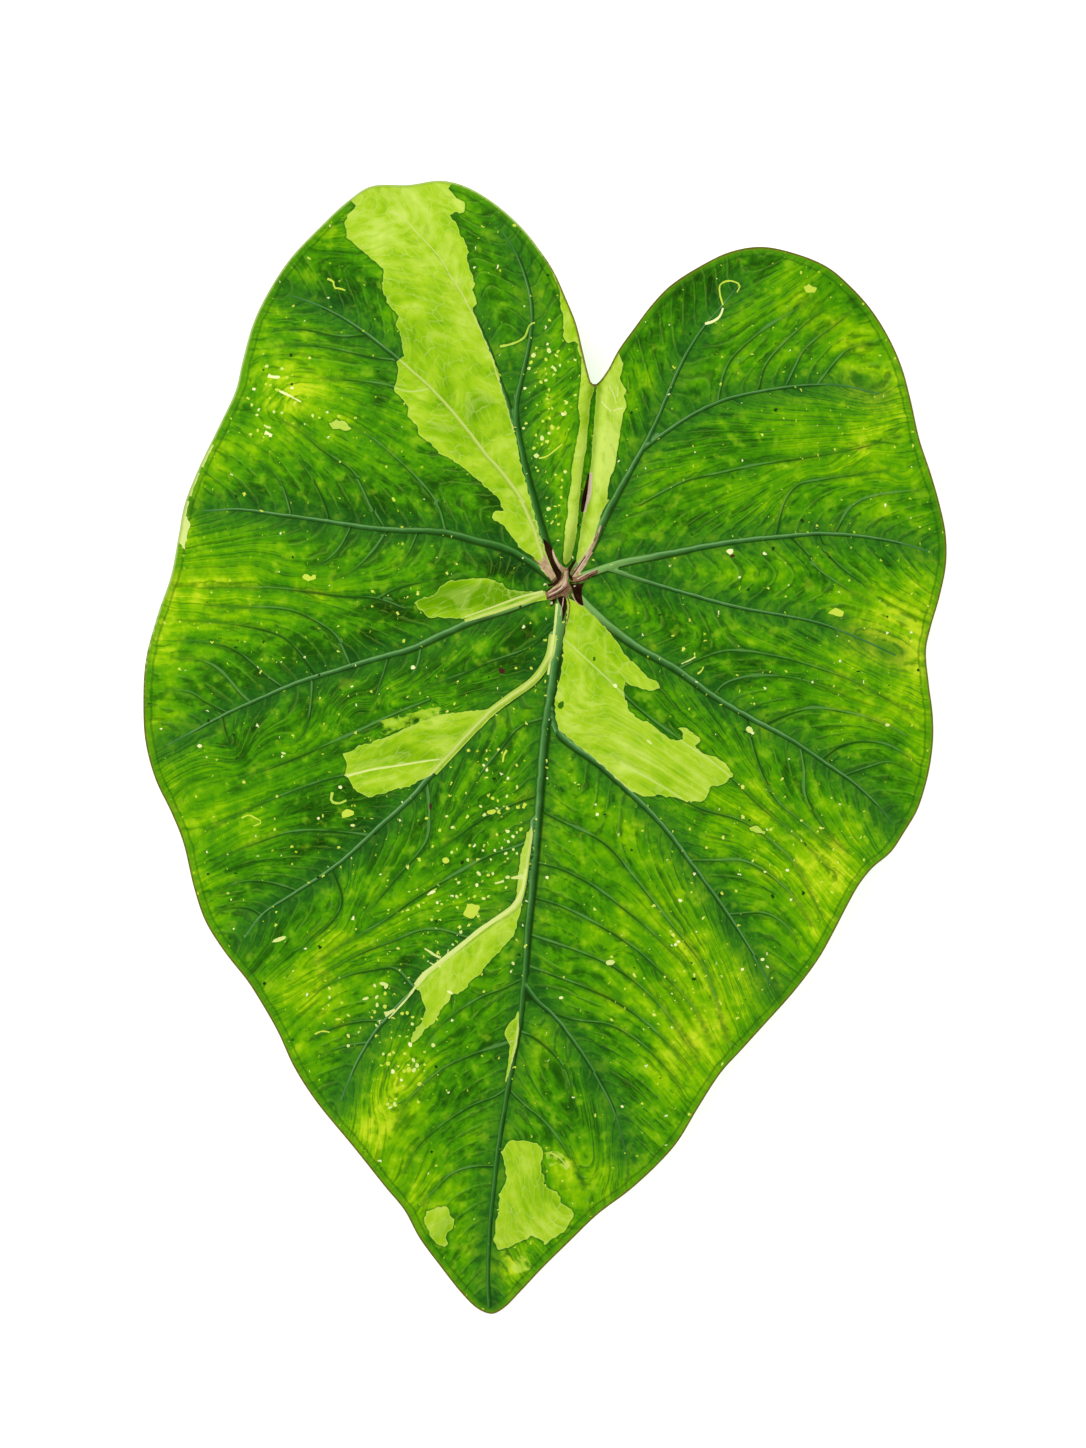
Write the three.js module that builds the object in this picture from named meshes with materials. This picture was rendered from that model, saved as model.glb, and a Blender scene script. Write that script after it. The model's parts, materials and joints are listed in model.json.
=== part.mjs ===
// A cut leaf of a variegated taro, lying face up: a heart-shaped blade with sunk primary veins, quilted
// side veins and a waved margin, and the short end of its stalk under the hub. Millimetres, +Z up. The
// origin lies on the surface that the leaf rests on, under the middle of its outline; the tip points
// along -Y and the two lobes along +Y.

import * as THREE from 'three';

// Real size of the leaf
const LEAF_LENGTH = 300;
const BLADE_THICKNESS = 0.7;

// The outline and the veins are plotted in the pixels of the reference picture, rows growing downwards.
// The leaf's length runs from the top of the lobes to the tip, between these two rows.
const LOBE_TOP_ROW = 180;
const TIP_ROW = 1315;
const MM_PER_PIXEL = LEAF_LENGTH / (TIP_ROW - LOBE_TOP_ROW);

// The arched form: highest near the middle, low at the tip and at the outer corners of the lobes
const DOME_HEIGHT = 25;
const DOME_HALF_WIDTH = 128;
const DOME_HALF_LENGTH = 158;
const DOME_CENTRE_Y = 8;

// Waves of the margin, fading inwards
const WAVE_HEIGHT = 2.4;
const WAVE_REACH = 16;
const WAVE_COUNT = 13;
const WAVE_PHASE = 0.6;
const RIPPLE_HEIGHT = 0.8;
const RIPPLE_REACH = 7;
const RIPPLE_COUNT = 31;

// Valleys of the primary veins on top, and their ribs beneath
const VALLEY_DEPTH = 2.6;
const VALLEY_REACH = 9.5;
const VALLEY_SHARE = 0.25;
const VALLEY_SHARE_PER_WIDTH = 0.4;
const CHANNEL_DEPTH = 0.45;
const RIB_DEPTH_PER_WIDTH = 1.15;
const RIB_SPREAD = 1.35;
const RIB_FOOT = 0.5;

// Grooves of the side veins
const LATERAL_DEPTH = 0.55;
const LATERAL_REACH = 3.2;
const LATERAL_RIB = 0.25;
const LATERAL_RIB_REACH = 0.9;

// The hub over the stalk: a funnel on top and a flat pad beneath
const HUB_SINK = 2.6;
const HUB_SINK_REACH = 9;
const HUB_PAD_RADIUS = 6.2;
const HUB_PAD_BLEND = 3.5;
const HUB_THICKNESS = 2.6;

// The creased seam from the bottom of the bay to the hub, with a swollen lip on each side
const CREASE_DEPTH = 2.2;
const CREASE_REACH = 1.5;
const LIP_HEIGHT = 1.1;
const LIP_OFFSET = 3.6;
const LIP_REACH = 1.7;

// Where the blade touches the surface
const CONTACT_RADIUS = 5;
const CONTACT_BLEND = 24;
const CLEARANCE = 1;
const CLEARANCE_SOFTNESS = 1.6;

// The stalk's cut end
const STUB_GAP = 0.3;
const STUB_TOP_RADIUS = 5;
const STUB_END_RADIUS = 4.3;
const STUB_REACH = 11;
const STUB_DROP = 9.5;
const STUB_BEND_REACH = 1.3;
const STUB_BEND_DROP = 7;
const STUB_SIDESTEP = 1;
const STUB_RINGS = 9;
const STUB_SIDES = 24;

// Spacing of the mesh points
const MARGIN_STEP = 5;
const MARGIN_INSET = 2.4;
const SEAM_STEP = 3.5;
const VEIN_STEP = 5.5;
const LATERAL_STEP = 6.5;
const FILLER_STEP = 5;
const FILLER_CLEARANCE = 2.7;
const LATERAL_CLEARANCE = 1.8;
const POINT_CLEARANCE = 1.15;
const CONTACT_RING = 4;
const CONTACT_SIDES = 6;
const HUB_SIDES = 10;
const SHAKE = 0.35;
const SEED = 20;

// Steps of the polylines that distances are measured to
const LINE_STEP = 1.5;

// Colour and roughness of the two finishes
const BLADE_FINISH = { color: 0x3f8a14, roughness: 0.42, metalness: 0 };
const STALK_FINISH = { color: 0x7d8f45, roughness: 0.55, metalness: 0 };

const HUB = [565, 585];

// Clockwise from the bottom of the bay between the lobes
const OUTLINE = [
  [596, 385], [607, 372], [618, 351.5], [635, 327.5], [651, 306], [670, 286], [700, 266], [730, 251.5],
  [761, 246.5], [795, 253], [828, 266.5], [851.5, 286], [872, 309], [890, 338], [902.5, 367],
  [911, 399], [920, 440], [931, 474], [940, 505], [946, 533], [946.5, 563], [940, 596], [931, 627],
  [926, 650], [928.5, 684], [932.5, 715], [933, 739], [930, 765], [925, 787], [917, 811], [904, 833],
  [891, 852], [872, 868], [859, 884], [847, 905], [833, 932], [819, 957], [802, 981], [787, 999.5],
  [761, 1028], [741, 1050], [721, 1072], [698, 1107], [677, 1142], [658, 1164], [630, 1190],
  [598, 1214.5], [571, 1240.5], [545, 1266], [520, 1293], [504, 1309], [492, 1315], [478, 1310],
  [463, 1296], [438.5, 1265], [419.5, 1239], [404, 1210], [386, 1188], [353, 1146], [315, 1100],
  [294, 1067], [278, 1032], [260.5, 1001], [248, 981], [224.5, 951], [205.5, 921], [194.5, 889], [183, 842],
  [171, 812], [155.5, 779], [145.5, 741], [143.5, 705], [146, 659], [157, 616], [171, 575.5],
  [178.5, 536], [184.6, 505], [199.6, 467], [220, 424], [235.6, 390], [242, 362], [252.5, 324],
  [267.5, 292], [290, 257.5], [320, 226], [348, 200], [370.5, 185.5], [409, 184], [440, 180],
  [463, 185], [490, 200], [520, 226], [540, 250.5], [554, 272], [566, 299], [576, 324], [583, 353],
  [588, 374], [591.5, 384],
];

// Primary veins from their root outwards, with their width at the root and at the end in millimetres
const PRIMARIES = [
  { width: [2.7, 0.8], path: [[563, 596], [557.7, 644], [551, 690], [544, 740], [540.5, 780],
    [537, 830], [533, 880], [528, 930], [524, 985], [520, 1020], [512, 1065], [505, 1105],
    [498, 1150], [493.5, 1190], [490, 1225], [488, 1270], [488, 1292]] },
  { width: [1.7, 0.4], path: [[578, 578], [597, 571], [622, 563], [660, 555.5], [700, 547.7],
    [740, 541], [780, 537], [820, 533.8], [860, 536], [900, 543], [928, 551]] },
  { width: [1.1, 0.4], path: [[606, 568], [640, 580], [680, 592], [740, 608], [780, 615],
    [820, 623.7], [860, 639], [895, 655]] },
  { width: [1.9, 0.4], path: [[576, 595], [603, 621], [637, 647], [674, 668], [713, 696],
    [751, 718.5], [791, 740], [825, 763], [855, 784], [878, 806], [893, 824]] },
  { width: [1.6, 0.4], path: [[551, 712], [559, 733], [600, 765], [638, 800], [664, 827],
    [691, 863], [718, 900], [735, 925], [755, 957], [770, 984]] },
  { width: [1.2, 0.4], path: [[526, 985], [537, 1000], [553, 1014], [577, 1045], [598, 1078],
    [616, 1115], [623, 1140], [626, 1155]] },
  { width: [1.9, 1.2], path: [[573, 572], [589, 550], [602, 523], [617, 494], [628, 475],
    [642, 450]] },
  { width: [1.2, 0.4], path: [[642, 450], [656, 422], [672, 384], [687, 353], [704.5, 326],
    [723, 305], [736, 288]] },
  { width: [1.1, 0.4], path: [[642, 450], [660, 436.7], [690, 416.5], [719, 402], [750, 393.5],
    [800, 385.8], [840, 385], [878.5, 393.5]] },
  { width: [1.7, 0.4], path: [[557, 575], [546, 545], [532, 495], [523, 458], [516, 410],
    [523, 374], [531, 333], [530.8, 301], [520, 262], [503, 232]] },
  { width: [1.6, 0.4], path: [[548, 572], [527, 511], [507.7, 481], [484.6, 453.5], [454.8, 415],
    [431, 389], [400, 361], [368, 335], [340, 316], [309, 301], [291, 295]] },
  { width: [1.1, 0.4], path: [[514, 430], [507, 402], [500, 383], [490, 352], [473, 314],
    [454, 281.5], [438.5, 256.5], [419, 235], [400, 215], [388, 210]] },
  { width: [1.8, 0.4], path: [[555, 580], [531, 563], [508, 549.6], [477, 541], [440, 532],
    [400, 530.5], [365, 527.5], [320, 520.4], [278.5, 514.6], [240, 509.6], [205, 511]] },
  { width: [1.8, 0.4], path: [[543, 595], [507.7, 609], [477, 619], [448, 632], [411.5, 648.7],
    [382, 657], [340, 669.8], [300, 682], [262, 698], [228, 713], [200, 728], [168, 745]] },
  { width: [1.9, 0.4], path: [[553, 635], [549, 657], [534.6, 679.4], [510, 697.7], [490, 713],
    [462, 742], [434, 772], [410, 799], [380, 826], [350, 854], [330, 870], [296, 892],
    [262, 915], [245, 937]] },
  { width: [1.7, 0.4], path: [[534, 820], [530, 848], [525, 880], [518, 905], [490, 924],
    [460, 947], [430, 970], [415, 988], [395, 1009], [375, 1032], [358, 1060], [348, 1083],
    [341, 1100]] },
];

// Side veins, from the vein that they leave towards the margin
const LATERALS = [
  [[446, 530], [439, 507], [420, 482], [400, 462], [370, 437], [350, 426]],
  [[385, 529], [371, 506], [353, 472], [322, 450], [300, 430], [280, 420]],
  [[330, 521], [321, 496], [302, 464], [292, 453]],
  [[292, 515], [280, 481], [259, 461]],
  [[431, 389], [410, 392], [385, 385], [350, 380], [320, 378]],
  [[400, 361], [375, 358], [340, 350], [310, 345], [280, 346]],
  [[368, 335], [340, 336], [300, 328], [276, 330]],
  [[388, 530], [376, 548], [353, 571], [332, 579]],
  [[352, 526], [340, 548], [325, 562], [309, 569]],
  [[419, 531], [408, 555], [398, 568]],
  [[405, 609], [378, 599], [342, 596], [313, 592], [273, 588], [240, 587], [205, 586]],
  [[378, 599], [390, 592], [409, 585], [434, 580]],
  [[352, 666], [338, 638], [323, 625], [290, 610], [232, 607], [205, 605]],
  [[318, 676], [298, 650], [284, 637], [248, 626], [203, 621]],
  [[284, 688], [267, 676], [240, 653], [223, 645], [178, 640]],
  [[251, 703], [241, 694], [221, 671], [203, 661], [172, 658]],
  [[228, 713], [205, 701], [190, 692], [165, 690]],
  [[313, 678], [312, 700], [307, 727], [297, 742]],
  [[390, 654], [382, 680], [375, 700]],
  [[422, 644], [418, 665], [410, 680]],
  [[222, 715], [225, 730], [232, 750]],
  [[553, 628], [531, 647], [511, 655], [488, 663], [463, 674], [440, 682], [412, 694]],
  [[430, 700], [400, 712], [350, 735], [300, 756], [270, 768], [240, 778]],
  [[446, 759], [400, 763], [360, 772], [325, 780], [270, 800], [240, 813], [205, 831]],
  [[368, 835], [345, 832], [310, 830], [285, 833], [240, 849], [215, 860]],
  [[298, 891], [285, 886], [262, 881], [240, 882], [210, 896]],
  [[262, 915], [250, 908], [235, 907], [216, 911]],
  [[332, 869], [342, 900], [335, 917], [300, 950]],
  [[428, 782], [430, 815], [427, 840], [398, 876], [365, 915]],
  [[544, 718], [520, 727], [500, 750], [480, 775], [465, 800], [447, 835]],
  [[538, 795], [510, 805], [485, 817], [445, 845], [425, 858]],
  [[533, 838], [520, 845], [490, 855], [440, 883], [412, 900], [385, 920], [350, 940], [315, 963]],
  [[470, 938], [440, 929], [420, 930], [395, 940], [360, 953], [320, 975]],
  [[414, 987], [395, 968], [370, 970], [345, 976], [315, 992]],
  [[385, 1020], [360, 1021], [335, 1027], [310, 1040]],
  [[370, 1042], [345, 1046], [320, 1055]],
  [[519, 980], [505, 987], [480, 997], [440, 1025], [425, 1045]],
  [[514, 1040], [490, 1048], [465, 1057], [440, 1070], [405, 1105], [395, 1130]],
  [[507, 1088], [495, 1096], [470, 1106], [430, 1134], [415, 1150], [405, 1172]],
  [[496, 1166], [470, 1167], [450, 1175], [435, 1190], [420, 1206]],
  [[565, 640], [600, 672], [640, 710], [680, 740], [720, 768], [757, 803], [800, 840], [836, 874]],
  [[620, 762], [660, 785], [700, 808], [740, 820], [770, 840], [795, 865], [822, 918]],
  [[690, 860], [715, 860], [745, 861], [785, 888], [812, 925]],
  [[728, 914], [765, 913], [785, 925], [798, 943]],
  [[745, 716], [752, 745], [762, 775], [778, 802], [805, 825], [830, 848]],
  [[800, 746], [804, 770], [805, 795], [830, 835], [848, 853]],
  [[765, 724], [785, 715], [812, 708], [845, 712], [880, 722], [908, 737]],
  [[822, 758], [842, 745], [865, 741], [890, 746], [913, 760]],
  [[845, 775], [865, 768], [888, 762], [910, 769]],
  [[680, 668], [700, 659], [727, 651], [779, 657], [841, 676], [868, 688], [912, 714]],
  [[712, 698], [723, 685], [741, 678], [775, 676], [810, 682], [845, 695]],
  [[818, 536], [827, 553], [852, 576], [874, 590]],
  [[792, 538], [808, 555], [815, 567], [840, 585], [868, 602]],
  [[775, 536], [785, 500], [798, 485], [820, 480], [845, 476], [890, 470]],
  [[835, 533], [849, 509], [862, 500], [879, 495], [920, 490]],
  [[640, 505], [686, 481], [717, 474], [759, 465], [821, 455], [861, 447], [900, 436]],
  [[718, 400], [724, 373], [732, 358], [763, 330], [800, 307], [815, 296]],
  [[758, 391], [765, 366], [788, 339], [824, 308]],
  [[785, 388], [796, 365], [805, 349], [853, 310]],
  [[818, 384], [836, 361], [848, 349], [871, 341]],
  [[541, 810], [560, 820], [605, 843], [635, 878], [668, 920], [706, 970], [716, 1000], [727, 1040]],
  [[537, 862], [560, 868], [590, 883], [620, 905], [650, 930], [685, 965]],
  [[534, 897], [560, 905], [620, 937], [650, 961], [695, 1010], [712, 1046]],
  [[530, 934], [590, 955], [620, 970], [645, 990], [668, 1015], [698, 1060]],
  [[527, 965], [555, 975], [620, 1003], [665, 1040], [692, 1072]],
  [[545, 1010], [575, 1019], [610, 1024], [640, 1042], [665, 1066], [682, 1087]],
  [[517, 1030], [535, 1037], [563, 1065], [576, 1110]],
  [[508, 1088], [525, 1105], [545, 1122], [575, 1165], [583, 1188]],
];

// The seam from the bay to the hub, and the slit that has opened in it
const CREASE = [[595, 390], [591.5, 420], [590, 446], [587, 470], [585, 495], [581, 520], [574, 548],
  [567, 572]];
const SLIT = { centre: [587.5, 493], halfLength: 20, halfWidth: 2.6, lean: -0.22, sides: 12 };

// The blade rests on the outer corner of each lobe and on the tip
const CONTACTS = [[296, 268], [866, 318], [490, 1297]];

// Repeatable draw of numbers from 0 to 1
function makeRandom(seed) {
  let state = seed;
  return () => {
    state = (state * 1664525 + 1013904223) % 4294967296;
    return state / 4294967296;
  };
}

function pictureCurve(path, closed) {
  const points = path.map(([column, row]) => new THREE.Vector3(column, -row, 0));
  const curve = new THREE.CatmullRomCurve3(points, closed, 'centripetal');
  curve.arcLengthDivisions = 1200;
  return curve;
}

// The outline's own box fixes the origin, so the outline is laid out first
const outlineCurve = pictureCurve(OUTLINE, true);
const marginCount = Math.round(outlineCurve.getLength() * MM_PER_PIXEL / MARGIN_STEP);
const marginPicture = outlineCurve.getSpacedPoints(marginCount).slice(0, marginCount);
const outlineBox = new THREE.Box3().setFromPoints(marginPicture);
const origin = outlineBox.getCenter(new THREE.Vector3());

function toPlan(point) {
  return new THREE.Vector2((point.x - origin.x) * MM_PER_PIXEL, (point.y - origin.y) * MM_PER_PIXEL);
}

function planPoint([column, row]) {
  return toPlan({ x: column, y: -row });
}

function planPath(path, step) {
  const curve = pictureCurve(path, false);
  const count = Math.max(2, Math.round(curve.getLength() * MM_PER_PIXEL / step));
  return curve.getSpacedPoints(count).map(toPlan);
}

const margin = marginPicture.map(toPlan);
const hub = planPoint(HUB);
const contacts = CONTACTS.map(planPoint);
const creasePath = planPath(CREASE, LINE_STEP);
const primaries = PRIMARIES.map(({ width, path }) => ({ width, line: planPath(path, LINE_STEP) }));
const laterals = LATERALS.map((path) => planPath(path, LINE_STEP));

// Distance from a point to a polyline, and how far along it the nearest point lies, from 0 to 1
function nearestOnLine(x, y, line) {
  let best = Infinity;
  let along = 0;
  for (let i = 0; i + 1 < line.length; i += 1) {
    const a = line[i];
    const b = line[i + 1];
    const dx = b.x - a.x;
    const dy = b.y - a.y;
    const t = Math.min(1, Math.max(0, ((x - a.x) * dx + (y - a.y) * dy) / (dx * dx + dy * dy)));
    const distance = Math.hypot(x - a.x - t * dx, y - a.y - t * dy);
    if (distance < best) {
      best = distance;
      along = (i + t) / (line.length - 1);
    }
  }
  return { distance: best, along };
}

const closedMargin = [...margin, margin[0]];

function insideOutline(x, y) {
  let inside = false;
  for (let i = 0; i + 1 < closedMargin.length; i += 1) {
    const a = closedMargin[i];
    const b = closedMargin[i + 1];
    if ((a.y > y) !== (b.y > y) && x < a.x + (y - a.y) * (b.x - a.x) / (b.y - a.y)) {
      inside = !inside;
    }
  }
  return inside;
}

function bell(distance, reach) {
  return Math.exp(-((distance / reach) ** 2));
}

function fade(distance, full, none) {
  const t = Math.min(1, Math.max(0, (none - distance) / (none - full)));
  return t * t * (3 - 2 * t);
}

function veinWidth(vein, along) {
  return vein.width[0] + (vein.width[1] - vein.width[0]) * Math.sqrt(along);
}

// The deepest of the primary valleys and ribs that reach a point
function primaryRelief(x, y) {
  let valley = 0;
  let rib = 0;
  for (const vein of primaries) {
    const { distance, along } = nearestOnLine(x, y, vein.line);
    const width = veinWidth(vein, along);
    const strength = Math.min(1, VALLEY_SHARE + VALLEY_SHARE_PER_WIDTH * width);
    const slope = Math.exp(-distance / VALLEY_REACH);
    const channel = CHANNEL_DEPTH * bell(distance, width);
    valley = Math.max(valley, strength * (VALLEY_DEPTH * slope + channel));
    rib = Math.max(rib, RIB_DEPTH_PER_WIDTH * width * bell(distance, RIB_SPREAD * width));
  }
  return { valley, rib };
}

function lateralDistance(x, y) {
  return Math.min(...laterals.map((line) => nearestOnLine(x, y, line).distance));
}

// Height of the upper face over the plan, before the blade is let down onto its contacts
function freeHeight(x, y, valley, side) {
  const dome = DOME_HEIGHT * (1 - (x / DOME_HALF_WIDTH) ** 2
    - ((y - DOME_CENTRE_Y) / DOME_HALF_LENGTH) ** 2);
  const edge = nearestOnLine(x, y, closedMargin);
  const turn = 2 * Math.PI * edge.along;
  const waveFade = WAVE_HEIGHT * Math.exp(-edge.distance / WAVE_REACH);
  const rippleFade = RIPPLE_HEIGHT * Math.exp(-edge.distance / RIPPLE_REACH);
  const wave = waveFade * Math.sin(WAVE_COUNT * turn + WAVE_PHASE);
  const ripple = rippleFade * Math.sin(RIPPLE_COUNT * turn);
  const groove = LATERAL_DEPTH * Math.exp(-side / LATERAL_REACH);
  const funnel = HUB_SINK * bell(Math.hypot(x - hub.x, y - hub.y), HUB_SINK_REACH);
  const seam = nearestOnLine(x, y, creasePath).distance;
  const crease = CREASE_DEPTH * bell(seam, CREASE_REACH) - LIP_HEIGHT * bell(seam - LIP_OFFSET, LIP_REACH);
  return dome + wave + ripple - valley - groove - funnel - crease;
}

// Upper and lower height of the blade at a point of the plan
function bladeHeights(x, y) {
  const { valley, rib } = primaryRelief(x, y);
  const side = lateralDistance(x, y);
  const lowest = BLADE_THICKNESS + CLEARANCE;
  const over = freeHeight(x, y, valley, side) - lowest;
  let top = lowest + 0.5 * (over + Math.hypot(over, CLEARANCE_SOFTNESS));
  for (const contact of contacts) {
    const weight = fade(Math.hypot(x - contact.x, y - contact.y), CONTACT_RADIUS, CONTACT_BLEND);
    top += (BLADE_THICKNESS - top) * weight;
  }
  const sideRib = LATERAL_RIB * bell(side, LATERAL_RIB_REACH);
  const under = top - BLADE_THICKNESS - Math.max(rib, sideRib);
  const toHub = Math.hypot(x - hub.x, y - hub.y);
  const pad = fade(toHub, HUB_PAD_RADIUS, HUB_PAD_RADIUS + HUB_PAD_BLEND);
  const bottom = Math.max(0, under + (padHeight - under) * pad);
  return { top: Math.max(top, bottom + BLADE_THICKNESS), bottom };
}

const hubTop = freeHeight(hub.x, hub.y, VALLEY_DEPTH, LATERAL_REACH);
const padHeight = hubTop - HUB_THICKNESS;

// Points of the slit's rim, as a slim ellipse that leans with the seam
function slitRim() {
  const rim = [];
  for (let i = 0; i < SLIT.sides; i += 1) {
    const angle = 2 * Math.PI * (i + 0.5) / SLIT.sides;
    const across = SLIT.halfWidth * Math.cos(angle);
    const down = SLIT.halfLength * Math.sin(angle);
    rim.push(planPoint([SLIT.centre[0] + across + SLIT.lean * down, SLIT.centre[1] + down]));
  }
  return rim;
}

function insideSlit(x, y) {
  const middle = planPoint(SLIT.centre);
  const down = (middle.y - y) / MM_PER_PIXEL;
  const across = (x - middle.x) / MM_PER_PIXEL - SLIT.lean * down;
  return (down / SLIT.halfLength) ** 2 + (across / SLIT.halfWidth) ** 2 < 1;
}

// A row of points beside a polyline, at an offset that may change along it
function offsetRow(line, offset) {
  return line.map((point, i) => {
    const before = line[Math.max(0, i - 1)];
    const after = line[Math.min(line.length - 1, i + 1)];
    const heading = after.clone().sub(before).normalize();
    const shift = offset(i / (line.length - 1));
    return new THREE.Vector2(point.x - heading.y * shift, point.y + heading.x * shift);
  });
}

// A centre point and a ring of points round it
function pointRing(centre, radius, sides) {
  const ring = [centre];
  for (let i = 0; i < sides; i += 1) {
    const angle = 2 * Math.PI * i / sides;
    ring.push(new THREE.Vector2(centre.x + radius * Math.cos(angle), centre.y + radius * Math.sin(angle)));
  }
  return ring;
}

// A grid of shaken points over the whole box of the outline
function fillerGrid() {
  const random = makeRandom(SEED);
  const shake = () => (2 * random() - 1) * SHAKE;
  const halfWidth = (outlineBox.max.x - outlineBox.min.x) * MM_PER_PIXEL / 2;
  const rowHeight = FILLER_STEP * Math.sqrt(3) / 2;
  const grid = [];
  for (let row = 0; row * rowHeight < LEAF_LENGTH; row += 1) {
    const y = row * rowHeight - LEAF_LENGTH / 2;
    for (let x = (row % 2) * FILLER_STEP / 2 - halfWidth; x < halfWidth; x += FILLER_STEP) {
      grid.push(new THREE.Vector2(x + shake(), y + shake()));
    }
  }
  return grid;
}

// All mesh points of the plan, the margin first, then the veins, then the grid between them
function planPoints() {
  const points = [...margin, ...slitRim()];
  const add = (candidates, gap) => candidates.forEach((candidate) => {
    const onBlade = insideOutline(candidate.x, candidate.y) && !insideSlit(candidate.x, candidate.y);
    if (onBlade && points.every((point) => point.distanceTo(candidate) > gap)) {
      points.push(candidate);
    }
  });
  contacts.forEach((contact) => add(pointRing(contact, CONTACT_RING, CONTACT_SIDES), POINT_CLEARANCE));
  add(offsetRow(closedMargin, () => -MARGIN_INSET), POINT_CLEARANCE);
  const seam = planPath(CREASE, SEAM_STEP);
  add(seam, POINT_CLEARANCE);
  [-LIP_OFFSET, LIP_OFFSET].forEach((shift) => add(offsetRow(seam, () => shift), POINT_CLEARANCE));
  PRIMARIES.forEach((vein) => {
    const line = planPath(vein.path, VEIN_STEP);
    const flank = (along) => RIB_SPREAD * veinWidth(vein, along) + RIB_FOOT;
    add(line, POINT_CLEARANCE);
    add(offsetRow(line, flank), POINT_CLEARANCE);
    add(offsetRow(line, (along) => -flank(along)), POINT_CLEARANCE);
  });
  LATERALS.forEach((path) => add(planPath(path, LATERAL_STEP), LATERAL_CLEARANCE));
  add(pointRing(hub, HUB_PAD_RADIUS, HUB_SIDES), LATERAL_CLEARANCE);
  add(fillerGrid(), FILLER_CLEARANCE);
  return points;
}

// Circle through three points, as its centre and squared radius
function circumcircle(a, b, c) {
  const bx = b.x - a.x;
  const by = b.y - a.y;
  const cx = c.x - a.x;
  const cy = c.y - a.y;
  const d = 2 * (bx * cy - by * cx);
  const ux = (cy * (bx * bx + by * by) - by * (cx * cx + cy * cy)) / d;
  const uy = (bx * (cx * cx + cy * cy) - cx * (bx * bx + by * by)) / d;
  return { x: a.x + ux, y: a.y + uy, radiusSquared: ux * ux + uy * uy };
}

// Delaunay triangles of the plan points, by adding one point after another
function triangulate(points) {
  const far = 20 * LEAF_LENGTH;
  const around = [[-far, -far], [far, -far], [0, far]].map(([x, y]) => new THREE.Vector2(x, y));
  const all = [...points, ...around];
  const makeTriangle = (i, j, k) => ({ corners: [i, j, k], circle: circumcircle(all[i], all[j], all[k]) });
  let triangles = [makeTriangle(points.length, points.length + 1, points.length + 2)];
  points.forEach((point, index) => {
    const border = new Map();
    const kept = [];
    for (const triangle of triangles) {
      const { x, y, radiusSquared } = triangle.circle;
      if ((point.x - x) ** 2 + (point.y - y) ** 2 >= radiusSquared) {
        kept.push(triangle);
        continue;
      }
      const [i, j, k] = triangle.corners;
      for (const [from, to] of [[i, j], [j, k], [k, i]]) {
        if (!border.delete(`${to},${from}`)) {
          border.set(`${from},${to}`, [from, to]);
        }
      }
    }
    border.forEach(([from, to]) => kept.push(makeTriangle(from, to, index)));
    triangles = kept;
  });
  return triangles.map((triangle) => triangle.corners).filter((corners) => {
    if (corners.some((corner) => corner >= points.length)) {
      return false;
    }
    const x = (all[corners[0]].x + all[corners[1]].x + all[corners[2]].x) / 3;
    const y = (all[corners[0]].y + all[corners[1]].y + all[corners[2]].y) / 3;
    return insideOutline(x, y) && !insideSlit(x, y);
  });
}

function makeGeometry(positions, faces) {
  const geometry = new THREE.BufferGeometry();
  geometry.setAttribute('position', new THREE.Float32BufferAttribute(positions, 3));
  geometry.setIndex(faces);
  geometry.computeVertexNormals();
  return geometry;
}

// The blade: both faces share one triangulation, and walls close it along the margin and the slit
function bladeGeometry() {
  const points = planPoints();
  const triangles = triangulate(points);
  const count = points.length;
  const heights = points.map((point) => bladeHeights(point.x, point.y));
  const positions = [];
  points.forEach((point, i) => positions.push(point.x, point.y, heights[i].top));
  points.forEach((point, i) => positions.push(point.x, point.y, heights[i].bottom));
  const faces = [];
  const border = new Map();
  for (const [i, j, k] of triangles) {
    faces.push(i, j, k);
    faces.push(i + count, k + count, j + count);
    for (const [from, to] of [[i, j], [j, k], [k, i]]) {
      if (!border.delete(`${to},${from}`)) {
        border.set(`${from},${to}`, [from, to]);
      }
    }
  }
  border.forEach(([from, to]) => {
    faces.push(from, from + count, to + count);
    faces.push(from, to + count, to);
  });
  return makeGeometry(positions, faces);
}

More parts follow.
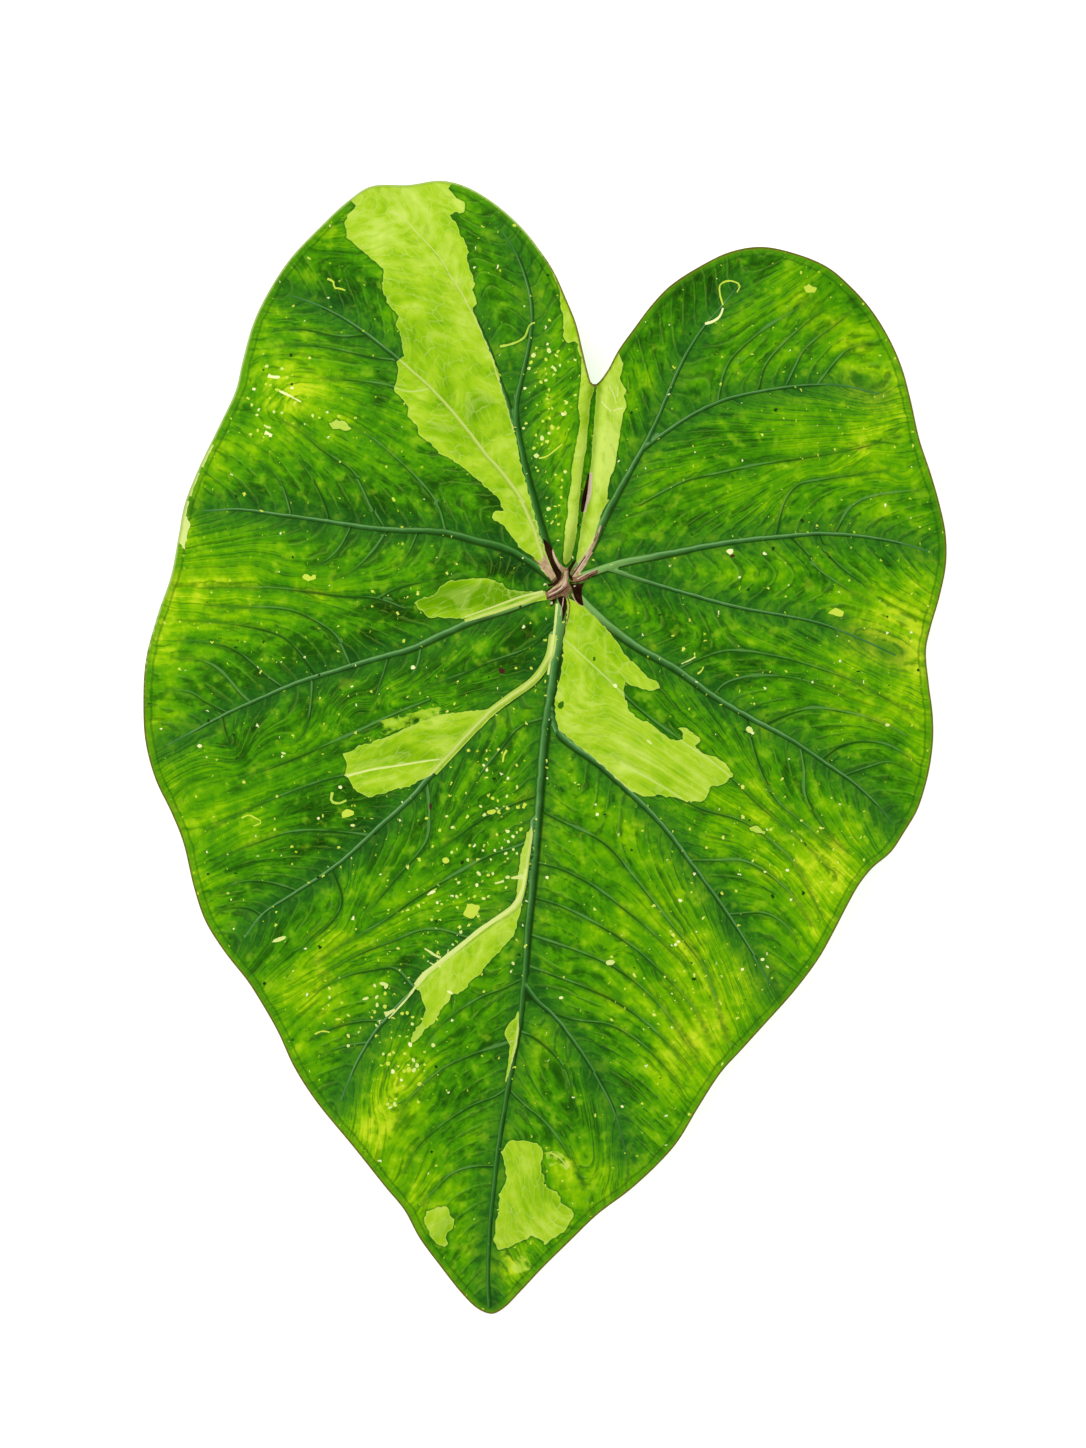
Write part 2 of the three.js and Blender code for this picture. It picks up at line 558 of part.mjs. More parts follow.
// The stalk's end: a tapered rod that leaves the pad straight down and bends towards the tip
function stubGeometry() {
  const start = new THREE.Vector3(hub.x, hub.y, padHeight - STUB_GAP);
  const path = new THREE.QuadraticBezierCurve3(
    start,
    new THREE.Vector3(hub.x, hub.y - STUB_BEND_REACH, start.z - STUB_BEND_DROP),
    new THREE.Vector3(hub.x - STUB_SIDESTEP, hub.y - STUB_REACH, start.z - STUB_DROP),
  );
  const positions = [start.x, start.y, start.z];
  for (let ring = 0; ring < STUB_RINGS; ring += 1) {
    const along = ring / (STUB_RINGS - 1);
    const centre = path.getPoint(along);
    const heading = ring === 0 ? new THREE.Vector3(0, 0, -1) : path.getTangent(along);
    const side = new THREE.Vector3(1, 0, 0).projectOnPlane(heading).normalize();
    const front = new THREE.Vector3().crossVectors(heading, side);
    const radius = STUB_TOP_RADIUS + (STUB_END_RADIUS - STUB_TOP_RADIUS) * along;
    for (let i = 0; i < STUB_SIDES; i += 1) {
      const angle = 2 * Math.PI * i / STUB_SIDES;
      const point = centre.clone()
        .addScaledVector(side, radius * Math.cos(angle))
        .addScaledVector(front, radius * Math.sin(angle));
      positions.push(point.x, point.y, point.z);
    }
  }
  const end = path.getPoint(1);
  positions.push(end.x, end.y, end.z);
  const faces = [];
  const last = 1 + STUB_RINGS * STUB_SIDES;
  for (let i = 0; i < STUB_SIDES; i += 1) {
    const next = (i + 1) % STUB_SIDES;
    faces.push(0, 1 + next, 1 + i);
    for (let ring = 0; ring + 1 < STUB_RINGS; ring += 1) {
      const upper = 1 + ring * STUB_SIDES;
      const lower = upper + STUB_SIDES;
      faces.push(upper + i, upper + next, lower + next);
      faces.push(upper + i, lower + next, lower + i);
    }
    faces.push(last, last - STUB_SIDES + i, last - STUB_SIDES + next);
  }
  return makeGeometry(positions, faces);
}

function makeMesh(name, geometry, finish) {
  const mesh = new THREE.Mesh(geometry, new THREE.MeshStandardMaterial(finish));
  mesh.name = name;
  return mesh;
}

const leaf = new THREE.Group();
leaf.add(makeMesh('leaf_blade', bladeGeometry(), BLADE_FINISH));
leaf.add(makeMesh('petiole_stub', stubGeometry(), STALK_FINISH));

export default leaf;
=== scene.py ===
"""Looks of one cut leaf of a variegated taro that lies face up.

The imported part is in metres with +Z up. The tip points along -Y and the two lobes along +Y, and the blade
rests on three low points of its margin. The blade and the stalk's end are remodelled here in finer form
and stand for their nodes.
"""

from __future__ import annotations

import contextlib
import functools
import json
import logging
import math
from dataclasses import dataclass, field
from enum import Enum
from typing import Any, Iterator, Sequence

import bpy
import numpy as np
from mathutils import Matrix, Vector
from mathutils.geometry import delaunay_2d_cdt

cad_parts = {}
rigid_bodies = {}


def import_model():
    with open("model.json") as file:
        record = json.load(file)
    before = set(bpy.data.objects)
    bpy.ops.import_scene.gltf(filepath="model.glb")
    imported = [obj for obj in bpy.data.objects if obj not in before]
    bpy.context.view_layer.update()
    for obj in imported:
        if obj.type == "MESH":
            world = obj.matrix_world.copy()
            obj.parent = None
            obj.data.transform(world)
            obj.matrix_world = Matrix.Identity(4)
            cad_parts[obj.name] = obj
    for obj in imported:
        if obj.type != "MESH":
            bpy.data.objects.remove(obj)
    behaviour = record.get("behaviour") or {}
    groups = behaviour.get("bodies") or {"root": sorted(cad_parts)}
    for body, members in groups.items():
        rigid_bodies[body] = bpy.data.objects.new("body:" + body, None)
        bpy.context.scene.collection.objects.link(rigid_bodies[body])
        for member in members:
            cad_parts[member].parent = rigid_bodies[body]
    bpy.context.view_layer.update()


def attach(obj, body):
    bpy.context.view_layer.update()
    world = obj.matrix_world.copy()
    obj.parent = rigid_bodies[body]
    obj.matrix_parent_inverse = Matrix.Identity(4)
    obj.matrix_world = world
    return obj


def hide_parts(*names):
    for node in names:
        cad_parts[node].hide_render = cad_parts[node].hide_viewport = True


LOG = logging.getLogger("taro_leaf")

MM = 0.001

# Columns and rows of plotted points in turn
Path = tuple[float, ...]

# Place and sRGB colour of each stop of a colour ramp
Stops = tuple[tuple[float, str], ...]


@dataclass(frozen=True)
class Picture:
    """Size of the reference picture in pixels, and what a pixel measures on the leaf."""

    width: int = 1086
    height: int = 1448
    leaf_length: float = 300.0
    lobe_top_row: float = 180.0
    tip_row: float = 1315.0

    @property
    def pixel(self) -> float:
        """Millimetres on the leaf for one pixel."""
        return self.leaf_length / (self.tip_row - self.lobe_top_row)


class Tone(Enum):
    """Colours of the marks on the blade."""

    LIME = "mark_lime"
    CREAM = "mark_cream"
    YELLOW = "mark_yellow"
    WHITE = "mark_white"
    MID = "mark_mid"
    SPECK = "mark_speck"
    BROWN = "mark_brown"
    TAN = "mark_tan"
    # Painted shadow in the hollows of the hub and in the opening of the seam
    HOLLOW = "mark_hollow"
    GREEN = "mark_green"
    # Pale pink: the strip of skin in the seam is its own colour, the strokes and the dot at the hub are
    # painted highlights
    SHINE = "mark_shine"


@dataclass(frozen=True)
class Vein:
    """A primary vein: its width in millimetres at the root and at the end, and its path.

    The taper is the power with which it narrows: below 1 it does so early, above 1 late. The last field
    says how much painted light the rib has at the root and at the end, from 0 to 1: with less of it the rib
    takes more of a darker, painted shaded copy of its colours, and with more of it a longer pale root by the
    hub.
    """

    width: tuple[float, float]
    path: Path
    taper: float = 1.3
    glow: tuple[float, float] = (0.8, 0.5)


@dataclass(frozen=True)
class Patch:
    """A mark with a plotted outline."""

    tone: Tone
    outline: Path
    ragged: float = 0.22


@dataclass(frozen=True)
class Stroke:
    """A mark drawn along a line, with its width in pixels at both ends and how far that varies."""

    tone: Tone
    width: tuple[float, float]
    path: Path
    ragged: float = 0.2


@dataclass(frozen=True)
class Dot:
    """A small blob: centre, length and width in pixels, and its tilt in degrees."""

    tone: Tone
    column: float
    row: float
    length: float
    width: float
    tilt: float = 0.0


@dataclass(frozen=True)
class Zone:
    """A soft zone of the green: centre and half sizes in pixels, how much lighter, and tilt in degrees."""

    column: float
    row: float
    across: float
    down: float
    shift: float
    tilt: float = 0.0


# All paths are plotted in the pixels of the reference picture, rows growing downwards.

# Clockwise from the bottom of the bay between the lobes
OUTLINE: Path = (
    596, 385, 607, 372, 618, 351.5, 635, 327.5, 651, 306, 670, 286, 700, 266, 730, 251.5, 761, 246.5, 795,
    253, 828, 266.5, 851.5, 286, 872, 309, 890, 338, 902.5, 367, 911, 399, 920, 440, 931, 474, 940, 505,
    946, 533, 946.5, 563, 940, 596, 931, 627, 926, 650, 928.5, 684, 932.5, 715, 933, 739, 930, 765, 925,
    787, 917, 811, 904, 833, 891, 852, 872, 868, 859, 884, 847, 905, 833, 932, 819, 957, 802, 981, 787,
    999.5, 761, 1028, 741, 1050, 721, 1072, 698, 1107, 677, 1142, 658, 1164, 630, 1190, 598, 1214.5, 571,
    1240.5, 545, 1266, 520, 1293, 504, 1309, 492, 1315, 478, 1310, 463, 1296, 438.5, 1265, 419.5, 1239, 404,
    1210, 386, 1188, 353, 1146, 315, 1100, 294, 1067, 278, 1032, 260.5, 1001, 248, 981, 224.5, 951, 205.5,
    921, 194.5, 889, 183, 842, 171, 812, 155.5, 779, 145.5, 741, 143.5, 705, 146, 659, 157, 616, 171, 575.5,
    178.5, 536, 184.6, 505, 199.6, 467, 220, 424, 235.6, 390, 242, 362, 252.5, 324, 267.5, 292, 290, 257.5,
    320, 226, 348, 200, 370.5, 185.5, 409, 184, 440, 180, 463, 185, 490, 200, 520, 226, 540, 250.5, 554,
    272, 566, 299, 576, 324, 583, 353, 588, 374, 591.5, 384,
)

# Primary veins from their root outwards, with their width at the root and at the end in millimetres
PRIMARIES: tuple[Vein, ...] = (
    Vein((2.7, 0.8), (
        563, 596, 557.7, 644, 551, 690, 544, 740, 540.5, 780, 537, 830, 533, 880, 528, 930, 524, 985, 520,
        1020, 512, 1065, 505, 1105, 498, 1150, 493.5, 1190, 490, 1225, 488, 1270, 488, 1290, 489, 1308,
    ), 0.6, glow=(0.7, 0)),
    Vein((1.7, 0.4), (
        578, 578, 597, 571, 622, 563, 660, 555.5, 700, 547.7, 740, 541, 780, 537, 820, 533.8, 860, 536, 900,
        543, 928, 551,
    ), glow=(1, 0.5)),
    Vein((1.1, 0.4), (
        606, 568, 640, 580, 680, 592, 740, 608, 780, 615, 820, 623.7, 860, 639, 895, 655,
    ), 0.8),
    Vein((1.9, 0.4), (
        576, 595, 603, 621, 637, 647, 674, 668, 713, 696, 751, 718.5, 791, 740, 825, 763, 855, 784, 878,
        806, 893, 824,
    ), glow=(0.8, 0.5)),
    Vein((1.6, 0.4), (
        551, 712, 559, 733, 600, 765, 638, 800, 664, 827, 691, 863, 718, 900, 735, 925, 755, 957, 770, 984,
    ), glow=(0.8, 0.5)),
    Vein((1.2, 0.4), (
        526, 985, 537, 1000, 553, 1014, 577, 1045, 598, 1078, 616, 1115, 623, 1140, 626, 1155,
    ), 0.7, glow=(0.6, 0.4)),
    Vein((1.9, 1.2), (573, 572, 589, 550, 602, 523, 617, 494, 628, 475, 642, 450), glow=(0.7, 0.7)),
    Vein((1.2, 0.4), (
        642, 450, 656, 422, 672, 384, 687, 353, 704.5, 326, 723, 305, 736, 288,
    ), 0.7, glow=(0.7, 0.5)),
    Vein((1.1, 0.4), (
        642, 450, 660, 436.7, 690, 416.5, 719, 402, 750, 393.5, 800, 385.8, 840, 385, 878.5, 393.5,
    ), 0.8, glow=(0.7, 0.5)),
    Vein((1.7, 0.4), (
        557, 575, 546, 545, 532, 495, 523, 458, 516, 410, 523, 374, 531, 333, 530.8, 301, 520, 262, 503,
        232,
    ), glow=(0.2, 0.5)),
    Vein((1.6, 0.4), (
        548, 572, 527, 511, 507.7, 481, 484.6, 453.5, 454.8, 415, 431, 389, 400, 361, 368, 335, 340, 316,
        309, 301, 291, 295,
    ), glow=(0.5, 0.6)),
    Vein((1.1, 0.4), (
        514, 430, 507, 402, 500, 383, 490, 352, 473, 314, 454, 281.5, 438.5, 256.5, 419, 235, 400, 215, 388,
        210,
    ), 0.8, glow=(0.5, 0.5)),
    Vein((1.8, 0.4), (
        555, 580, 531, 563, 508, 549.6, 477, 541, 440, 532, 400, 530.5, 365, 527.5, 320, 520.4, 278.5,
        514.6, 240, 509.6, 205, 511,
    ), glow=(0.3, 0.9)),
    Vein((1.8, 0.4), (
        543, 595, 507.7, 609, 477, 619, 448, 632, 411.5, 648.7, 382, 657, 340, 669.8, 300, 682, 262, 698,
        228, 713, 200, 728, 168, 745,
    ), glow=(0.9, 0.8)),
    Vein((1.9, 0.4), (
        553, 635, 549, 657, 534.6, 679.4, 510, 697.7, 490, 713, 462, 742, 434, 772, 410, 799, 380, 826, 350,
        854, 330, 870, 296, 892, 262, 915, 245, 937,
    ), glow=(0.9, 0.9)),
    Vein((1.7, 0.4), (
        534, 820, 530, 848, 525, 880, 518, 905, 490, 924, 460, 947, 430, 970, 415, 988, 395, 1009, 375,
        1032, 358, 1060, 348, 1083, 341, 1100,
    ), glow=(0.9, 0.9)),
)

# Side veins, from the vein that they leave towards the margin
LATERALS: tuple[Path, ...] = (
    (446, 530, 439, 507, 420, 482, 400, 462, 370, 437, 350, 426),
    (385, 529, 371, 506, 353, 472, 322, 450, 300, 430, 280, 420),
    (330, 521, 321, 496, 302, 464, 292, 453),
    (292, 515, 280, 481, 259, 461),
    (431, 389, 410, 392, 385, 385, 350, 380, 320, 378),
    (400, 361, 375, 358, 340, 350, 310, 345, 280, 346),
    (368, 335, 340, 336, 300, 328, 276, 330),
    (388, 530, 376, 548, 353, 571, 332, 579),
    (352, 526, 340, 548, 325, 562, 309, 569),
    (419, 531, 408, 555, 398, 568),
    (405, 609, 378, 599, 342, 596, 313, 592, 273, 588, 240, 587, 205, 586),
    (378, 599, 390, 592, 409, 585, 434, 580),
    (352, 666, 338, 638, 323, 625, 290, 610, 232, 607, 205, 605),
    (318, 676, 298, 650, 284, 637, 248, 626, 203, 621),
    (284, 688, 267, 676, 240, 653, 223, 645, 178, 640),
    (251, 703, 241, 694, 221, 671, 203, 661, 172, 658),
    (228, 713, 205, 701, 190, 692, 165, 690),
    (313, 678, 312, 700, 307, 727, 297, 742),
    (390, 654, 382, 680, 375, 700),
    (422, 644, 418, 665, 410, 680),
    (222, 715, 225, 730, 232, 750),
    (553, 628, 531, 647, 511, 655, 488, 663, 463, 674, 440, 682, 412, 694),
    (430, 700, 400, 712, 350, 735, 300, 756, 270, 768, 240, 778),
    (446, 759, 400, 763, 360, 772, 325, 780, 270, 800, 240, 813, 205, 831),
    (368, 835, 345, 832, 310, 830, 285, 833, 240, 849, 215, 860),
    (298, 891, 285, 886, 262, 881, 240, 882, 210, 896),
    (262, 915, 250, 908, 235, 907, 216, 911),
    (332, 869, 342, 900, 335, 917, 300, 950),
    (428, 782, 430, 815, 427, 840, 398, 876, 365, 915),
    (544, 718, 520, 727, 500, 750, 480, 775, 465, 800, 447, 835),
    (538, 795, 510, 805, 485, 817, 445, 845, 425, 858),
    (533, 838, 520, 845, 490, 855, 440, 883, 412, 900, 385, 920, 350, 940, 315, 963),
    (470, 938, 440, 929, 420, 930, 395, 940, 360, 953, 320, 975),
    (414, 987, 395, 968, 370, 970, 345, 976, 315, 992),
    (385, 1020, 360, 1021, 335, 1027, 310, 1040),
    (370, 1042, 345, 1046, 320, 1055),
    (519, 980, 505, 987, 480, 997, 440, 1025, 425, 1045),
    (514, 1040, 490, 1048, 465, 1057, 440, 1070, 405, 1105, 395, 1130),
    (507, 1088, 495, 1096, 470, 1106, 430, 1134, 415, 1150, 405, 1172),
    (496, 1166, 470, 1167, 450, 1175, 435, 1190, 420, 1206),
    (565, 640, 600, 672, 640, 710, 680, 740, 720, 768, 757, 803, 800, 840, 836, 874),
    (620, 762, 660, 785, 700, 808, 740, 820, 770, 840, 795, 865, 822, 918),
    (690, 860, 715, 860, 745, 861, 785, 888, 812, 925),
    (728, 914, 765, 913, 785, 925, 798, 943),
    (745, 716, 752, 745, 762, 775, 778, 802, 805, 825, 830, 848),
    (800, 746, 804, 770, 805, 795, 830, 835, 848, 853),
    (765, 724, 785, 715, 812, 708, 845, 712, 880, 722, 908, 737),
    (822, 758, 842, 745, 865, 741, 890, 746, 913, 760),
    (845, 775, 865, 768, 888, 762, 910, 769),
    (680, 668, 700, 659, 727, 651, 779, 657, 841, 676, 868, 688, 912, 714),
    (712, 698, 723, 685, 741, 678, 775, 676, 810, 682, 845, 695),
    (818, 536, 827, 553, 852, 576, 874, 590),
    (792, 538, 808, 555, 815, 567, 840, 585, 868, 602),
    (775, 536, 785, 500, 798, 485, 820, 480, 845, 476, 890, 470),
    (835, 533, 849, 509, 862, 500, 879, 495, 920, 490),
    (640, 505, 686, 481, 717, 474, 759, 465, 821, 455, 861, 447, 900, 436),
    (718, 400, 724, 373, 732, 358, 763, 330, 800, 307, 815, 296),
    (758, 391, 765, 366, 788, 339, 824, 308),
    (785, 388, 796, 365, 805, 349, 853, 310),
    (818, 384, 836, 361, 848, 349, 871, 341),
    (541, 810, 560, 820, 605, 843, 635, 878, 668, 920, 706, 970, 716, 1000, 727, 1040),
    (537, 862, 560, 868, 590, 883, 620, 905, 650, 930, 685, 965),
    (534, 897, 560, 905, 620, 937, 650, 961, 695, 1010, 712, 1046),
    (530, 934, 590, 955, 620, 970, 645, 990, 668, 1015, 698, 1060),
    (527, 965, 555, 975, 620, 1003, 665, 1040, 692, 1072),
    (545, 1010, 575, 1019, 610, 1024, 640, 1042, 665, 1066, 682, 1087),
    (517, 1030, 535, 1037, 563, 1065, 576, 1110),
    (508, 1088, 525, 1105, 545, 1122, 575, 1165, 583, 1188),
)

# The seam from the bay to the hub
CREASE: Path = (595, 390, 591.5, 420, 590, 446, 587, 470, 585, 495, 581, 520, 574, 548, 567, 572)

# Pale patches
PATCHES: tuple[Patch, ...] = (
    Patch(Tone.LIME, (
        351, 200, 357, 205, 349, 212, 344, 222, 346.5, 231.5, 345.5, 236, 380, 265.5, 383.8, 271, 383.8,
        281, 381.5, 283, 383, 293, 386.5, 298, 386.5, 302, 398.6, 317, 397.7, 322, 395.4, 323.8, 400, 331,
        404.4, 357, 395.4, 362.3, 399, 368, 398, 377, 394.8, 388, 395.4, 392, 409.8, 408.5, 408, 417, 415,
        424, 418.8, 430, 417.9, 434.4, 436, 448.8, 440, 455.4, 448, 458, 466, 470, 474, 478.5, 481, 482,
        490, 492, 497, 496, 500, 501.5, 500, 507, 504.4, 509.6, 501, 512.7, 495, 511, 492.7, 514, 492.7,
        518.5, 498, 523.7, 503, 525, 512.5, 537, 518, 546.7, 534.6, 559, 547, 577, 553, 574, 552, 563, 540,
        536, 520, 461, 514, 430, 500, 383.5, 498, 372, 473, 310, 474, 306.5, 477.5, 302.7, 472.7, 290,
        474.6, 283.5, 473, 275, 468.8, 268, 467, 259.4, 468.7, 252.7, 466, 244, 459, 231.5, 459, 227, 450,
        215.8, 454.8, 210.8, 458, 213, 464, 212, 466, 205.6, 462.5, 200.8, 454.8, 197, 449, 188, 452, 184,
        450, 172, 400, 172, 366, 180, 356, 192,
    )),
    Patch(Tone.LIME, (
        542, 593, 509.6, 590, 504.8, 588, 503, 583.8, 498, 583, 487.5, 578.5, 460, 580, 448, 582, 441, 587,
        438.5, 592, 432.7, 596.7, 423, 597.7, 415, 603.5, 420, 610, 427, 615, 428.5, 618.5, 440, 617, 450,
        618.8, 470, 618.5, 500, 611, 540, 596,
    )),
    Patch(Tone.LIME, (
        567, 597, 584.6, 607, 608.7, 632, 616, 641, 620, 648.7, 630.8, 661, 648, 678.5, 655.8, 681, 660,
        688.7, 651, 691, 640, 689, 625, 682, 623, 690, 625, 699.6, 630, 712, 638, 720, 648, 722, 668, 738,
        676, 741, 682, 739, 682, 733, 678, 729, 684, 727, 696, 736, 699.5, 737, 699, 742, 694, 746, 700,
        751, 708, 755, 716, 757, 723, 761, 731, 772, 732.5, 775, 724, 783, 718, 786, 710, 785, 708, 788,
        708, 795, 704, 799, 700, 801, 693, 800, 687, 802, 672, 796, 666, 797, 660, 794, 650, 797, 640, 795,
        630, 790, 620, 782, 600, 763, 559, 730, 555, 713, 555, 700, 562.5, 663, 563.5, 648.7, 562, 640, 566,
        630,
    )),
    Patch(Tone.MID, (378, 722, 430, 708, 446, 707, 446, 716, 395, 731, 385, 736, 378, 730)),
    Patch(Tone.LIME, (
        501, 708, 446, 714, 420, 722, 385, 738, 375, 740, 370, 744, 360, 745, 350, 752, 343, 754, 346, 760,
        348, 768, 345, 775, 350, 780, 353, 787, 360, 793, 369, 797, 388, 792, 398, 788, 405, 788, 412, 785,
        436, 772,
    )),
    Patch(Tone.LIME, (
        532, 826, 533, 832, 527, 862, 522, 905, 514, 935, 485, 966, 480, 974, 470, 980, 468, 986, 458, 993,
        451, 994, 449, 1001, 443, 1006, 436, 1020, 428, 1026, 419, 1037, 411, 1044, 411, 1040, 414, 1032,
        417, 1026, 422, 1022, 426, 1010, 421, 993, 419, 990, 416, 989, 417, 985, 430, 970, 460, 948, 470,
        938, 500, 918, 514, 904, 517, 893, 521, 852, 526, 836, 529, 829,
    )),
    Patch(Tone.LIME, (
        518, 1010, 516, 1017, 510, 1022, 506, 1028, 504, 1034, 510, 1044, 508, 1065, 505, 1080, 506, 1083,
        517, 1045, 519, 1030, 519, 1012,
    ), 0.1),
    Patch(Tone.LIME, (
        503, 1150, 511, 1139, 522, 1141, 532, 1141, 540, 1146, 543, 1150, 543, 1158, 540, 1163, 541, 1171,
        545, 1178, 544, 1184, 549, 1189, 556, 1192, 560, 1197, 560, 1202, 571, 1209, 574, 1216, 565, 1231,
        551, 1240, 545, 1246, 543, 1241, 537, 1239, 532, 1235, 527, 1240, 519, 1242, 509, 1249, 504, 1248,
        498, 1252, 493, 1239, 496, 1232, 496, 1222, 499, 1212, 499, 1194, 504, 1187, 507, 1178, 504, 1161,
        501, 1152,
    )),
    Patch(Tone.LIME, (
        432, 1209, 445, 1206, 449, 1211, 450, 1216, 454, 1220, 453, 1229, 447, 1233, 446, 1239, 449, 1245,
        443, 1248, 437, 1245, 431, 1238, 425, 1224, 424, 1218, 427, 1212,
    )),
    Patch(Tone.LIME, (
        547, 262, 560, 290, 560, 305, 564, 320, 563, 338, 568, 344, 574, 341, 578, 346, 577, 352, 581.7,
        358.5, 594, 360, 580, 300, 560, 262,
    )),
    Patch(Tone.LIME, (
        582, 345, 581, 380, 577.8, 407.7, 580.4, 421, 571.6, 469, 571.6, 483, 567.3, 506, 568.2, 514.6, 565,
        528, 563, 562, 566, 566, 571, 560, 576, 538, 582.5, 469, 586, 450, 590.6, 400.6, 594.7, 388, 594,
        360,
    ), 0.1),
    Patch(Tone.LIME, (
        623, 365, 619.7, 379.7, 626.8, 392.4, 623, 395.5, 626.8, 406.7, 623, 414, 614, 471, 610.7, 475.6,
        607.8, 489, 607, 501, 610, 499.7, 602.6, 510.6, 592, 545, 580, 566, 576, 562, 591, 463, 596.2, 389,
        604, 366, 616, 348,
    ), 0.1),
    Patch(Tone.CREAM, (187, 517, 190, 525.6, 187, 535, 185, 549.6, 180, 543, 172, 543, 178, 515)),
    Patch(Tone.MID, (
        500, 1252, 512, 1253, 525, 1252, 530, 1262, 530, 1270, 520, 1275, 508, 1268, 502, 1262,
    )),
    Patch(Tone.MID, (545, 1152, 556, 1150, 566, 1156, 571, 1166, 566, 1170, 558, 1163, 549, 1166)),
    Patch(Tone.LIME, (749, 827, 757, 825.5, 766, 833, 757, 833.5, 750, 830)),
    # The opening in the seam: painted shadow down its left side, and beside it a pale pink strip of skin
    Patch(Tone.HOLLOW, (588, 473, 589.5, 474, 587, 496, 583.5, 513.5, 580.5, 513, 581.5, 500), 0.0),
    Patch(Tone.SHINE, (
        589.5, 474, 592.4, 472, 591.6, 492, 590, 500, 587, 506, 586, 513, 583.5, 513.5, 587, 496,
    ), 0.0),
    Patch(Tone.YELLOW, (
        467, 904, 472, 903, 474, 905, 480, 904, 480, 908, 477, 912, 476, 917, 471, 918, 465, 916, 463, 912,
        466, 909,
    )),
    Patch(Tone.YELLOW, (303, 576, 307, 574.5, 311, 577, 316, 575, 317, 578, 312, 581, 307, 581, 304, 580)),
    Patch(Tone.YELLOW, (829, 611, 836, 608, 843, 611, 842, 617, 828, 614)),
    Patch(Tone.YELLOW, (804, 286, 810, 283, 813, 286, 817, 287, 815, 292, 809, 293, 805, 290)),
    Patch(Tone.LIME, (329, 424, 336, 420, 345, 422, 352, 429, 347, 431, 340, 429, 333, 430)),
)

# Marks of the hub, where the veins meet over the stalk. The shaded hollows among them are painted shadow in
# its recesses.
HUB_MARKS: tuple[Patch, ...] = (
    Patch(Tone.HOLLOW, (
        542.9, 538.8, 548.2, 543.2, 551.3, 547.7, 552.7, 553, 552.7, 558.4, 555.4, 564.6, 561.6, 573.6,
        560.7, 577.1, 558, 582.5, 553.6, 586.1, 548.2, 587, 547.3, 584.3, 552.7, 583.8, 557.1, 578.9, 550.9,
        566.4, 545.5, 552.1,
    ), 0.0),
    Patch(Tone.TAN, (
        553, 549, 555, 556, 559, 563, 564, 568, 568, 568, 563, 574, 559.5, 570, 555.8, 564, 553.2, 558,
        551.8, 552,
    ), 0.0),
    Patch(Tone.TAN, (543.5, 569, 549, 573, 555, 578.5, 556.5, 577, 553, 572, 545, 555, 541.5, 560), 0.0),
    Patch(Tone.BROWN, (531.3, 557.9, 538.4, 562.9, 545.5, 569.1, 544.6, 570, 532.1, 559.3), 0.0),
    Patch(Tone.TAN, (
        570.5, 577.1, 585.7, 555.7, 590.2, 551.3, 592.9, 553, 589.3, 558.4, 585.7, 565.5, 578.6, 575.4,
        574.1, 578,
    ), 0.0),
    Patch(Tone.HOLLOW, (
        568.3, 568.2, 574.1, 560.2, 576.3, 560.6, 569.6, 573.6, 571, 577, 574.1, 578, 573, 582, 569, 579,
        567.6, 574,
    ), 0.0),
    Patch(Tone.BROWN, (
        568.3, 578, 570.5, 581.6, 574.1, 580.7, 580.4, 578, 585.7, 574.5, 592.9, 570.9, 598.2, 570, 598.7,
        571.3, 592.9, 573.6, 585.7, 580.7, 580.4, 582.9, 574.1, 583.8, 570.5, 582.5,
    ), 0.0),
    Patch(Tone.HOLLOW, (
        568.8, 582.5, 574.1, 584.7, 580.4, 584.3, 585.7, 582.5, 582.6, 586.1, 581.7, 590.5, 581.7, 595.9,
        583.5, 605.7, 582.6, 606.6, 578.6, 604.8, 575, 600.4, 571.9, 588.8,
    ), 0.0),
    Patch(Tone.HOLLOW, (549.6, 601.3, 557.1, 597.7, 555.4, 603, 550.9, 607.9), 0.0),
    Patch(Tone.HOLLOW, (
        557.1, 597.7, 564.3, 595.9, 566.5, 600.4, 567, 607.5, 565.2, 614.6, 562.5, 621.8, 561.6, 622.7,
        562.5, 613.8, 561.6, 607.5, 558.9, 603,
    ), 0.0),
    Patch(Tone.BROWN, (
        542.9, 595.9, 546.4, 600.4, 553.6, 599.5, 557.1, 597.7, 567.9, 594.1, 571.4, 590.5, 571.9, 588.8,
        568.8, 584.3, 567.4, 577.1, 568.8, 569.1, 566.1, 568.7, 563.4, 571.8, 560.7, 578.9, 555.4, 584.3,
        544.6, 593.2,
    ), 0.0),
)

